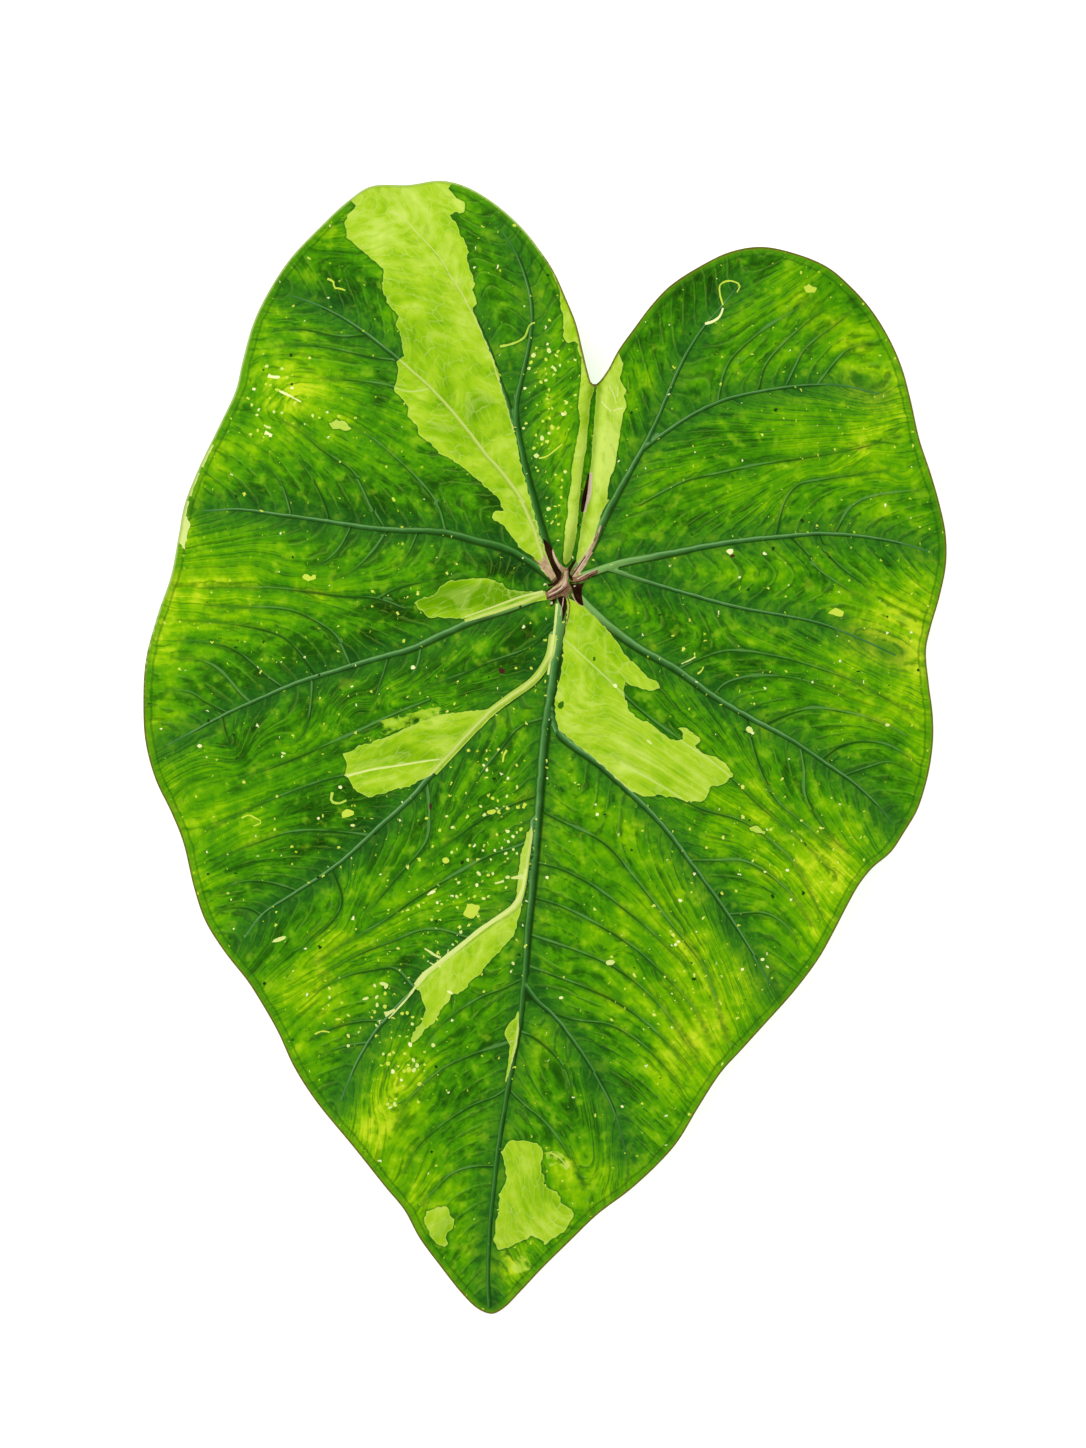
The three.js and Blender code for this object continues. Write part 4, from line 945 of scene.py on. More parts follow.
def add_node(
    tree: bpy.types.NodeTree,
    kind: str,
    inputs: Sequence[Any] | dict[str | int, Any] = (),
    output: str | int = 0,
    stops: Stops = (),
    **settings: Any,
) -> bpy.types.NodeSocket:
    """Add a node to a tree.

    Args:
        tree: the node tree.
        kind: Blender's name of the shader node's type, without ShaderNode in front.
        inputs: values, or the sockets that feed them, in the order of the node's inputs or by name.
        output: the output that is wanted, by name or number.
        stops: place and sRGB colour of each stop, for a node with a colour ramp.
        **settings: properties to set on the node.

    Returns:
        The wanted output.
    """
    node = tree.nodes.new("ShaderNode" + kind)
    for name, value in settings.items():
        setattr(node, name, value)
    pairs = inputs.items() if isinstance(inputs, dict) else enumerate(inputs)
    for key, value in pairs:
        if isinstance(value, bpy.types.NodeSocket):
            tree.links.new(value, node.inputs[key])
        else:
            node.inputs[key].default_value = value
    for number, (place, colour) in enumerate(stops):
        ramp = node.color_ramp.elements
        element = ramp[number] if number < 2 else ramp.new(place)
        element.position, element.color = place, linear(colour)
    return node.outputs[output] if node.outputs else None


def new_material(name: str) -> bpy.types.Material:
    """Make a material with an empty node tree.

    Args:
        name: the material's name.

    Returns:
        The material.
    """
    material = bpy.data.materials.new(name)
    material.use_nodes = True
    material.node_tree.nodes.clear()
    return material


@dataclass
class BladeForm:
    """Heights of the blade's two faces over its plan, in millimetres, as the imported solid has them.

    A pair is a height or a depth and how far it reaches, unless a comment says otherwise.
    """

    thickness: float = 0.7
    # Height, half width, half length and Y of the middle
    dome: tuple[float, float, float, float] = (25.0, 128.0, 158.0, 8.0)
    # Height, reach, number of waves round the margin, and for the first the turn that it starts with
    wave: tuple[float, float, int, float] = (2.4, 16.0, 13, 0.6)
    ripple: tuple[float, float, int] = (0.8, 7.0, 31)
    valley: tuple[float, float] = (2.6, 9.5)
    # How much of the valley any vein has, and how much more for each millimetre of its width
    valley_share: tuple[float, float] = (0.25, 0.4)
    channel_depth: float = 0.45
    # Height and reach, both for each millimetre of a vein's width
    rib: tuple[float, float] = (1.15, 1.35)
    groove: tuple[float, float] = (0.55, 3.2)
    side_rib: tuple[float, float] = (0.25, 0.9)
    funnel: tuple[float, float] = (2.6, 9.0)
    # Radius of the flat pad, how far it blends into the blade, and its depth below the upper face
    hub_pad: tuple[float, float, float] = (6.2, 3.5, 2.6)
    crease: tuple[float, float] = (2.2, 1.5)
    # Height, distance from the crease, and reach
    lip: tuple[float, float, float] = (1.1, 3.6, 1.7)
    # How far from a contact the blade lies flat, and from where on it lifts freely
    contact: tuple[float, float] = (5.0, 24.0)
    # Height that the blade keeps above the ground, and how softly it bottoms out
    clearance: tuple[float, float] = (1.0, 1.6)
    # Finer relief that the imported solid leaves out, first the cord of a primary vein: its height and its
    # flanks' depth as shares of the width, then in half widths its reach, the flanks' place and reach
    cord_share: float = 0.36
    cord_flank: float = 0.20
    cord_reach: float = 0.72
    flank_place: float = 1.25
    flank_reach: float = 0.5
    # The cords start this far from the hub, and have their full height from here on
    cord_start: tuple[float, float] = (3.0, 8.0)
    side_cord: tuple[float, float] = (0.08, 0.34)
    side_flank: tuple[float, float] = (0.16, 0.80)
    # Share of the height that a side vein has lost at its end
    side_ending: float = 0.7
    # How far in from its outline a mark of the hub rises or sinks
    mark_slope: float = 0.5


class BladePlan:
    """Everything that is plotted in the blade's plan: margin, veins, seam, hub, contacts and marks."""

    def __init__(self, plan: Plan) -> None:
        """Place all plotted paths.

        Args:
            plan: the picture's scale and origin.
        """
        self.plan = plan
        self.margin = spaced(plan.path(OUTLINE, closed=True), MARGIN_STEP)
        self.primaries = [spaced(plan.path(vein.path), VEIN_STEP) for vein in PRIMARIES]
        self.laterals = [spaced(plan.path(path), SIDE_STEP) for path in LATERALS]
        self.crease = spaced(plan.path(CREASE), VEIN_STEP)
        self.hub = plan.points(HUB)[0]
        self.contacts = plan.points(CONTACTS)
        self.loops = self._mark_loops()

    def _mark_loops(self) -> list[tuple[Tone, np.ndarray]]:
        """Turn every patch, stroke and dot into a closed loop.

        Returns:
            Tones and loops, in the order in which they are laid on.
        """
        draw = np.random.default_rng(SEED)
        pixel = self.plan.picture.pixel
        loops = []
        for patch in PATCHES + HUB_MARKS:
            corners = self.plan.points(patch.outline)
            loop = spaced(back_to_start(corners), PATCH_STEP)[:-1]
            loops.append((patch.tone, loop + draw.uniform(-1.0, 1.0, loop.shape) * patch.ragged))
        for stroke in (Stroke(tone, *row) for tone, rows in STROKES.items() for row in rows):
            line = spaced(self.plan.path(stroke.path), STROKE_STEP)
            half = np.linspace(stroke.width[0], stroke.width[1], len(line)) * pixel / 2.0
            half = half * draw.uniform(1.0 - stroke.ragged, 1.0 + stroke.ragged, len(line))
            loops.append((stroke.tone, np.vstack([beside(line, half), beside(line, -half)[::-1]])))
        flecks = []
        for tones, places in FLECKS.items():
            for column, row, size in places:
                length, width = size * draw.uniform(*FLECK_LENGTH), size * draw.uniform(*FLECK_WIDTH)
                tone = tones[draw.integers(len(tones))]
                flecks.append(Dot(tone, column, row, length, width, draw.uniform(0.0, 180.0)))
        dots = [Dot(tone, *row) for tone, rows in DOTS.items() for row in rows]
        for dot in dots + flecks:
            turn = np.linspace(0.0, 2.0 * math.pi, DOT_SIDES, endpoint=False)
            size = np.column_stack([np.cos(turn) * dot.length, np.sin(turn) * dot.width]) / 2.0
            size *= draw.uniform(*DOT_RAGGED, (DOT_SIDES, 1))
            tilt = math.radians(dot.tilt)
            spun = np.column_stack([
                size[:, 0] * math.cos(tilt) - size[:, 1] * math.sin(tilt),
                size[:, 0] * math.sin(tilt) + size[:, 1] * math.cos(tilt),
            ])
            loops.append((dot.tone, self.plan.points(spun + (dot.column, dot.row))))
        return loops

    def zone_field(self, points: np.ndarray, zones: Sequence[Zone]) -> np.ndarray:
        """Add up soft zones.

        Args:
            points: plan points in millimetres.
            zones: the zones.

        Returns:
            The sum of the zones' shifts at each point.
        """
        field_sum = np.zeros(len(points))
        pixel = self.plan.picture.pixel
        for zone in zones:
            gap = (points - self.plan.points((zone.column, zone.row))) / pixel
            tilt = math.radians(zone.tilt)
            along = gap[:, 0] * math.cos(tilt) + gap[:, 1] * math.sin(tilt)
            up = gap[:, 1] * math.cos(tilt) - gap[:, 0] * math.sin(tilt)
            field_sum += zone.shift * np.exp(-((along / zone.across) ** 2) - (up / zone.down) ** 2)
        return field_sum


class PointCloud:
    """Gathers mesh points in order of importance and drops those that come too close to earlier ones."""

    # Size of the cells in which earlier points are looked up, in millimetres
    CELL = 0.5

    def __init__(self) -> None:
        """Start empty."""
        self.points: list[tuple[float, float]] = []
        self.edges: list[tuple[int, int]] = []
        self._cells: dict[tuple[int, int], list[int]] = {}

    def _close_to(self, x: float, y: float, gap: float) -> int:
        """Look up an earlier point.

        Args:
            x: place asked about.
            y: place asked about.
            gap: how far the earlier point may be.

        Returns:
            The earlier point's number, or -1.
        """
        reach = int(gap / self.CELL) + 1
        column, row = int(x // self.CELL), int(y // self.CELL)
        for i in range(column - reach, column + reach + 1):
            for j in range(row - reach, row + reach + 1):
                for number in self._cells.get((i, j), ()):
                    px, py = self.points[number]
                    if (px - x) ** 2 + (py - y) ** 2 < gap * gap:
                        return number
        return -1

    def add(self, points: np.ndarray, gap: float, joined: bool = False, closed: bool = False) -> None:
        """Add points.

        Args:
            points: the new points.
            gap: how far each must be from every earlier point, or else that one stands for it.
            joined: whether edges of the mesh have to run from each to the next.
            closed: whether the last is joined to the first.
        """
        numbers = []
        for x, y in points.tolist():
            number = self._close_to(x, y, gap)
            if number < 0:
                number = len(self.points)
                self.points.append((x, y))
                cell = (int(x // self.CELL), int(y // self.CELL))
                self._cells.setdefault(cell, []).append(number)
                numbers.append(number)
            elif joined and (not numbers or numbers[-1] != number):
                numbers.append(number)
        if joined:
            ends = numbers[1:] + numbers[:1] if closed else numbers[1:]
            self.edges += [(a, b) for a, b in zip(numbers, ends) if a != b]


@dataclass(frozen=True)
class GrainForm:
    """How the field that runs with the side veins is made, in millimetres, steps and rounds."""

    # Steps by which the lines of the primary and of the side veins are lengthened
    vein_steps: int = 25
    side_steps: int = 14
    # How near a lengthened side vein may come to a primary vein and to another side vein, and how far
    # it goes before the second one counts
    off_vein: float = 2.0
    off_side: float = 2.4
    side_start: float = 0.6
    # Points this near to a primary vein keep their value, and points this near to a side vein take its
    # root's, as do points near a lengthened one and beyond the plotted ones
    on_vein: float = 0.6
    on_side: float = 0.25
    on_longer: float = 0.6
    beyond_side: float = 0.8
    measured: float = 3.0
    mending_rounds: int = 220
    smoothing_rounds: int = 6


@dataclass
class LeafBlade:
    """The heart-shaped blade: thin lamina, veins, waved margin, funnel, seam and marks.

    A gap is how close two mesh points may come, in millimetres. Rows of points run beside the primary
    veins, in half widths, and beside side veins, seam and margin, in millimetres. Fields stop growing at
    the distances called far, and the lit side of a line is measured out to lit_reach.
    """

    layout: BladePlan
    form: BladeForm = field(default_factory=BladeForm)
    grain_form: GrainForm = field(default_factory=GrainForm)
    margin_gap: float = 0.05
    mark_gap: float = 0.12
    row_gap: float = 0.42
    seam_gap: float = 0.6
    inset_gap: float = 0.5
    vein_rows: tuple[float, ...] = (0.5, 1.0, 1.6)
    side_rows: tuple[float, ...] = (-0.45, 0.45)
    seam_rows: tuple[float, ...] = (0.0, -1.2, 1.2, -2.6, 2.6, -4.2, 4.2)
    margin_rows: tuple[float, ...] = (-0.55, -1.3)
    filler_step: float = 1.3
    filler_gap: float = 0.95
    filler_shake: float = 0.12
    filler_inset: float = -0.7
    # Points that meet within this distance, in millimetres, are one when the plan is split
    join_distance: float = 1e-5
    far_spread: float = 9.0
    far_border: float = 9.0
    far_side: float = 20.0
    lit_reach: float = 1.5
    # By how many millimetres the distances of a side vein and of the lines beside it have grown at its
    # end, and the power of the way along it with which they grow
    side_fading: tuple[float, int] = (0.4, 4)
    line_fading: tuple[float, int] = (0.35, 3)
    smooth_angle: float = 50.0
    # A face belongs to the underside where its normal's Z is less than this
    under_normal: float = -0.2
    # Plan points in millimetres, three point numbers for each triangle, and what is measured there
    points: np.ndarray = field(init=False)
    triangles: np.ndarray = field(init=False)
    fields: dict[str, np.ndarray] = field(init=False)

    def _vein_half(self, vein: Vein, along: np.ndarray) -> np.ndarray:
        """Return half of a primary vein's width as it shows on top, at places along it."""
        return (vein.width[0] - (vein.width[0] - vein.width[1]) * along**vein.taper) / 2.0

    def plan_mesh(self) -> tuple[np.ndarray, np.ndarray]:
        """Split the plan into triangles whose edges follow the margin, the veins and the marks.

        Returns:
            The plan points in millimetres, and three point numbers for each triangle.
        """
        layout = self.layout
        cloud = PointCloud()
        cloud.add(layout.margin[:-1], self.margin_gap, joined=True, closed=True)
        for _, loop in layout.loops:
            cloud.add(loop, self.mark_gap, joined=True, closed=True)
        for vein, line in zip(PRIMARIES, layout.primaries):
            cloud.add(line, self.row_gap, joined=True)
            half = self._vein_half(vein, np.linspace(0.0, 1.0, len(line)))
            for share in self.vein_rows:
                for side in (-1.0, 1.0):
                    cloud.add(beside(line, side * share * half), self.row_gap)
        for line in layout.laterals:
            cloud.add(line, self.row_gap, joined=True)
            for side in self.side_rows:
                cloud.add(beside(line, side), self.row_gap)
        for shift in self.seam_rows:
            cloud.add(beside(layout.crease, shift), self.seam_gap)
        for inset in self.margin_rows:
            cloud.add(beside(layout.margin, inset), self.inset_gap)
        cloud.add(self._filler(), self.filler_gap)
        verts, _, faces, *_ = delaunay_2d_cdt(
            [Vector(point) for point in cloud.points], cloud.edges, [], 0, self.join_distance
        )
        points = np.array([tuple(v) for v in verts])
        triangles = np.array([tuple(face) for face in faces if len(face) == 3])
        centres = points[triangles].mean(axis=1)
        triangles = triangles[inside_loop(centres, layout.margin[:-1])]
        used = np.unique(triangles)
        renumber = np.full(len(points), -1)
        renumber[used] = np.arange(len(used))
        return points[used], renumber[triangles]

    def _filler(self) -> np.ndarray:
        """Lay a shaken grid over the whole blade.

        Returns:
            The grid's points.
        """
        draw = np.random.default_rng(SEED + 1)
        low, high = self.layout.margin.min(axis=0), self.layout.margin.max(axis=0)
        row_height = self.filler_step * math.sqrt(3.0) / 2.0
        rows = []
        for number, y in enumerate(np.arange(low[1], high[1], row_height)):
            x = np.arange(low[0] + (number % 2) * self.filler_step / 2.0, high[0], self.filler_step)
            rows.append(np.column_stack([x, np.full(len(x), y)]))
        grid = np.vstack(rows)
        grid += draw.uniform(-self.filler_shake, self.filler_shake, grid.shape)
        return grid[inside_loop(grid, beside(self.layout.margin, self.filler_inset)[:-1])]

    def measure(self) -> dict[str, np.ndarray]:
        """Measure what the heights and the finishes need at each plan point.

        Returns:
            Named fields, all in millimetres but for those that are shares.
        """
        layout, form, points = self.layout, self.form, self.points
        count = len(points)
        fields = {
            "vein": np.full(count, math.inf), "spread": np.full(count, self.far_spread),
            "lit": np.zeros(count), "glow": np.zeros(count),
        }
        valley, rib, cord = np.zeros(count), np.zeros(count), np.zeros(count)
        for vein, line in zip(PRIMARIES, layout.primaries):
            near = nearest_on_line(points, line)
            half = self._vein_half(vein, near.along)
            width = vein.width[0] + (vein.width[1] - vein.width[0]) * np.sqrt(near.along)
            strength = np.minimum(1.0, form.valley_share[0] + form.valley_share[1] * width)
            slope = form.valley[0] * np.exp(-near.distance / form.valley[1])
            valley = np.maximum(valley, strength * (slope + form.channel_depth * bell(near.distance, width)))
            rib = np.maximum(rib, form.rib[0] * width * bell(near.distance, form.rib[1] * width))
            flank = near.distance - form.flank_place * half
            raised = form.cord_share * 2.0 * half * bell(near.distance, form.cord_reach * half)
            sunk = form.cord_flank * 2.0 * half * bell(flank, form.flank_reach * half)
            cord = np.where(np.abs(raised - sunk) > np.abs(cord), raised - sunk, cord)
            spread = near.distance / half
            # The side of the vein that faces the light, for the painted highlight and shade of the ribs, and
            # how much painted light the rib has
            lit = np.sign(near.offset @ LIGHT_SIDE) * np.minimum(spread, self.lit_reach)
            glow = vein.glow[0] + (vein.glow[1] - vein.glow[0]) * near.along
            fields["lit"] = np.where(spread < fields["spread"], lit, fields["lit"])
            fields["glow"] = np.where(spread < fields["spread"], glow, fields["glow"])
            fields["spread"] = np.minimum(fields["spread"], spread)
            fields["vein"] = np.minimum(fields["vein"], near.distance)
        side, fading = np.full(count, self.far_side), np.zeros(count)
        side_lit = np.full(count, self.lit_reach)
        for line in layout.laterals:
            near = nearest_on_line(points, line, self.far_side)
            nearer = near.distance < side
            fading = np.where(nearer, near.along, fading)
            # Which side of the side vein faces the light, for its painted highlight and shadow lines
            lit = np.sign(near.offset @ LIGHT_SIDE) * np.minimum(near.distance, self.lit_reach)
            side_lit = np.where(nearer, lit, side_lit)
            side = np.minimum(side, near.distance)
        edge = nearest_on_line(points, layout.margin)
        border = np.full(count, self.far_border)
        for tone, loop in layout.loops:
            if tone is Tone.LIME:
                near = nearest_on_line(points, back_to_start(loop), self.far_border)
                border = np.minimum(border, near.distance)
        fields.update({
            "border": border, "valley": valley, "rib": rib, "cord": cord, "side_along": fading,
            "side": side + self.side_fading[0] * fading**self.side_fading[1],
            "side_lit": side_lit, "side_end": self.line_fading[0] * fading**self.line_fading[1],
            "edge": edge.distance, "edge_along": edge.along,
            "seam": nearest_on_line(points, layout.crease).distance,
            "hub": np.linalg.norm(points - layout.hub, axis=1),
            "zone": layout.zone_field(points, ZONES),
            "lime_zone": layout.zone_field(points, LIME_ZONES),
            "specks": np.clip(layout.zone_field(points, SPECK_ZONES), 0.0, 1.0),
        })
        return fields

    def grain(self) -> dict[str, np.ndarray]:
        """Make a field whose level lines run with the side veins, and the way run along them.

        A point gets the place along its primary vein from which a side vein would reach it, leaning
        outwards at the usual angle. Where a plotted side vein says otherwise, the value is mended
        there, and the mending is spread between the veins.

        Returns:
            The fields, named grain and run.
        """
        hub, form, points = self.layout.hub, self.grain_form, self.points
        run = np.full(len(points), math.inf)
        value = np.zeros(len(points))
        for line in self.layout.primaries:
            longer = run_on(line, VEIN_STEP, form.vein_steps)
            near = nearest_on_line(points, longer)
            closer = near.distance < run
            place = np.linalg.norm(line[0] - hub) + near.along * (len(longer) - 1) * VEIN_STEP
            value = np.where(closer, place - SIDE_LEAN * near.distance, value)
            run = np.where(closer, near.distance, run)
        mending, fixed = np.zeros(len(points)), self.fields["vein"] < form.on_vein
        for line in self.layout.laterals:
            near = nearest_on_line(points, self._free_run(line), form.measured)
            beyond = (near.distance < form.on_longer) & (self.fields["side"] > form.beyond_side)
            on_line = ((near.distance < form.on_side) | beyond) & ~fixed
            if on_line.any():
                root = value[np.linalg.norm(points - line[0], axis=1).argmin()]
                mending[on_line] = root - value[on_line]
                fixed |= on_line
        mending = self._spread(mending, fixed, form.mending_rounds)
        free = np.zeros(len(points), dtype=bool)
        return {"grain": self._spread(value + mending, free, form.smoothing_rounds), "run": run}

    def _free_run(self, line: np.ndarray) -> np.ndarray:
        """Lengthen a side vein's line towards the margin until it comes near to another vein.

        Args:
            line: points of the side vein.

        Returns:
            The longer line.
        """
        form = self.grain_form
        longer = run_on(line, SIDE_STEP, form.side_steps)
        for number in range(len(line), len(longer)):
            there = np.linalg.norm(self.points - longer[number], axis=1).argmin()
            gone = (number - len(line) + 1) * SIDE_STEP
            clear = min(gone - form.side_start, form.off_side)
            if self.fields["vein"][there] < form.off_vein or self.fields["side"][there] < clear:
                return longer[:number]
        return longer

    def _spread(self, value: np.ndarray, fixed: np.ndarray, rounds: int) -> np.ndarray:
        """Let a value settle to the mean of its neighbours wherever it isn't fixed.

        Args:
            value: one number for each point.
            fixed: the points that keep theirs.
            rounds: how often to settle.

        Returns:
            The settled numbers.
        """
        pairs = np.vstack([self.triangles[:, sides] for sides in ((0, 1), (1, 2), (2, 0))])
        pairs = np.unique(np.sort(pairs, axis=1), axis=0)
        a, b = pairs[:, 0], pairs[:, 1]
        size = len(value)
        count = np.bincount(a, minlength=size) + np.bincount(b, minlength=size)
        for _ in range(rounds):
            total = np.bincount(a, value[b], size) + np.bincount(b, value[a], size)
            value = np.where(fixed, value, total / count)
        return value

    def free_height(self, points: np.ndarray, fields: dict[str, np.ndarray]) -> np.ndarray:
        """Return the upper face's height before the blade is let down onto its contacts.

        Args:
            points: plan points in millimetres.
            fields: the measured fields.

        Returns:
            Heights in millimetres.
        """
        form = self.form
        x, y = points[:, 0], points[:, 1]
        height, half_width, half_length, centre_y = form.dome
        dome = height * (1.0 - (x / half_width) ** 2 - ((y - centre_y) / half_length) ** 2)
        turn = 2.0 * math.pi * fields["edge_along"]
        wave = form.wave[0] * np.exp(-fields["edge"] / form.wave[1])
        wave = wave * np.sin(form.wave[2] * turn + form.wave[3])
        ripple = form.ripple[0] * np.exp(-fields["edge"] / form.ripple[1])
        ripple = ripple * np.sin(form.ripple[2] * turn)
        groove = form.groove[0] * np.exp(-fields["side"] / form.groove[1])
        funnel = form.funnel[0] * bell(fields["hub"], form.funnel[1])
        crease = form.crease[0] * bell(fields["seam"], form.crease[1])
        lip = form.lip[0] * bell(fields["seam"] - form.lip[1], form.lip[2])
        return dome + wave + ripple - fields["valley"] - groove - funnel - crease + lip

    def pad_height(self) -> float:
        """Tell how high the flat pad under the hub lies.

        Returns:
            Its height in millimetres.
        """
        hub = self.layout.hub[None, :]
        edge = nearest_on_line(hub, self.layout.margin)
        fields = {
            "edge": edge.distance, "edge_along": edge.along,
            "side": np.array([self.form.groove[1]]), "valley": np.array([self.form.valley[0]]),
            "hub": np.zeros(1), "seam": nearest_on_line(hub, self.layout.crease).distance,
        }
        return float(self.free_height(hub, fields)[0]) - self.form.hub_pad[2]

    def heights(self) -> tuple[np.ndarray, np.ndarray]:
        """Shape the upper and the lower face.

        Returns:
            Upper and lower heights in millimetres.
        """
        form, points, fields = self.form, self.points, self.fields
        lowest = form.thickness + form.clearance[0]
        over = self.free_height(points, fields) - lowest
        top = lowest + 0.5 * (over + np.hypot(over, form.clearance[1]))
        calm = np.ones(len(points))
        for contact in self.layout.contacts:
            weight = fade(np.linalg.norm(points - contact, axis=1), *form.contact)
            top += (form.thickness - top) * weight
            calm *= 1.0 - weight
        side_rib = form.side_rib[0] * bell(fields["side"], form.side_rib[1])
        under = top - form.thickness - np.maximum(fields["rib"], side_rib)
        pad = fade(fields["hub"], form.hub_pad[0], form.hub_pad[0] + form.hub_pad[1])
        bottom = np.maximum(0.0, under + (self.pad_height() - under) * pad)
        top = np.maximum(top, bottom + form.thickness)
        return top + self._fine_relief() * calm, bottom

    def _fine_relief(self) -> np.ndarray:
        """Shape the cords of the veins and the marks at the hub.

        Returns:
            What they add to the upper face, in millimetres.
        """
        form, points, fields = self.form, self.points, self.fields
        fine = fields["cord"] * (1.0 - fade(fields["hub"], *form.cord_start))
        ending = 1.0 - form.side_ending * fields["side_along"]
        fine += form.side_cord[0] * ending * bell(fields["side"], form.side_cord[1])
        fine -= form.side_flank[0] * ending * bell(fields["side"], form.side_flank[1])
        for tone, loop in self.layout.loops:
            if tone in HUB_RELIEF:
                rim = nearest_on_line(points, back_to_start(loop), self.far_border).distance
                depth = np.where(inside_loop(points, loop), rim, 0.0)
                fine += HUB_RELIEF[tone] * (1.0 - np.exp(-depth / form.mark_slope))
        return fine

    def build(self) -> bpy.types.Object:
        """Make the blade's mesh, with its measured fields as attributes.

        Returns:
            The blade.
        """
        self.points, self.triangles = self.plan_mesh()
        self.fields = self.measure()
        self.fields.update(self.grain())
        top, bottom = self.heights()
        mesh = bpy.data.meshes.new("leaf_blade_fine")
        mesh.from_pydata(np.column_stack([self.points, top]).tolist(), [], self.triangles.tolist())
        blade = bpy.data.objects.new("leaf_blade_fine", mesh)
        bpy.context.collection.objects.link(blade)
        self._write_fields(mesh)
        with whole_mesh(blade):
            bpy.ops.mesh.extrude_region_move(TRANSFORM_OT_translate={"value": (0.0, 0.0, -1.0)})
        lower = np.zeros(len(mesh.vertices), dtype=bool)
        mesh.vertices.foreach_get("select", lower)
        number = np.zeros(len(mesh.vertices), dtype=np.int32)
        mesh.attributes["number"].data.foreach_get("value", number)
        mesh.attributes.remove(mesh.attributes["number"])
        height = np.where(lower, bottom[number], top[number])
        place = np.column_stack([self.points[number], height])
        mesh.vertices.foreach_set("co", (place * MM).ravel())
        mesh.update()
        with whole_mesh(blade):
            bpy.ops.mesh.normals_make_consistent(inside=False)
        bpy.ops.object.shade_smooth_by_angle(angle=math.radians(self.smooth_angle))
        return blade

    def _write_fields(self, mesh: bpy.types.Mesh) -> None:
        """Store the fields on the points, and each mark's tone on the faces inside it.

        Args:
            mesh: the blade's upper sheet.
        """
        store(mesh, "number", "INT", "POINT", np.arange(len(self.points), dtype=np.int32))
        for name in FIELDS_FOR_SKIN:
            store(mesh, name, "FLOAT", "POINT", self.fields[name].astype(np.float32))
        centres = self.points[self.triangles].mean(axis=1)
        tones = {tone: np.zeros(len(centres)) for tone in Tone}
        for tone, loop in self.layout.loops:
            covered = inside_loop(centres, loop)
            for other in Tone:
                if other is tone:
                    tones[other][covered] = 1.0
                elif not (tone is Tone.CREAM and other is Tone.LIME):
                    tones[other][covered] = 0.0
        for tone, cover in tones.items():
            store(mesh, tone.value, "FLOAT", "FACE", cover.astype(np.float32))

    def dress(self, blade: bpy.types.Object) -> None:
        """Give the upper face, the margin and the underside their finishes.

        Args:
            blade: the blade that build has made.
        """
        blade.data.materials.append(UpperSkin().make())
        blade.data.materials.append(LowerSkin().make())
        count = len(blade.data.polygons)
        normals = np.zeros(count * 3)
        blade.data.polygons.foreach_get("normal", normals)
        under = (normals.reshape(-1, 3)[:, 2] < self.under_normal).astype(np.int32)
        blade.data.polygons.foreach_set("material_index", under)
        blade.data.update()


def store(mesh: bpy.types.Mesh, name: str, kind: str, domain: str, values: np.ndarray) -> None:
    """Store one value for each point or each face of a mesh under a name."""
    mesh.attributes.new(name, kind, domain).data.foreach_set("value", values)


def select_only(*chosen: bpy.types.Object) -> None:
    """Select the chosen objects and nothing else, and make the last one active.

    Args:
        *chosen: the objects; none to deselect everything.
    """
    for obj in bpy.context.view_layer.objects:
        obj.select_set(obj in chosen)
    if chosen:
        bpy.context.view_layer.objects.active = chosen[-1]


@contextlib.contextmanager
def whole_mesh(obj: bpy.types.Object) -> Iterator[None]:
    """Open one object for editing with all of its mesh selected, and close it again at the end.

    Args:
        obj: the object.

    Yields:
        Nothing, while the object is open.
    """
    select_only(obj)
    bpy.ops.object.mode_set(mode="EDIT")
    bpy.ops.mesh.select_all(action="SELECT")
    yield
    bpy.ops.object.mode_set(mode="OBJECT")


@dataclass(frozen=True)
class Coat:
    """A colour laid over a skin where a value is small.

    The value is named, and is a field of the mesh, a noise or a sum. The colour covers up to the value
    full and is gone from the value none on, opacity is how far it covers at most, and ragged says by how
    much the grit shifts that border either way. The paint is an sRGB hex value or the name of a colour
    that the skin has mixed before.
    """

    value: str
    paint: str
    full: float
    none: float
    opacity: float = 1.0
    ragged: float = 0.0


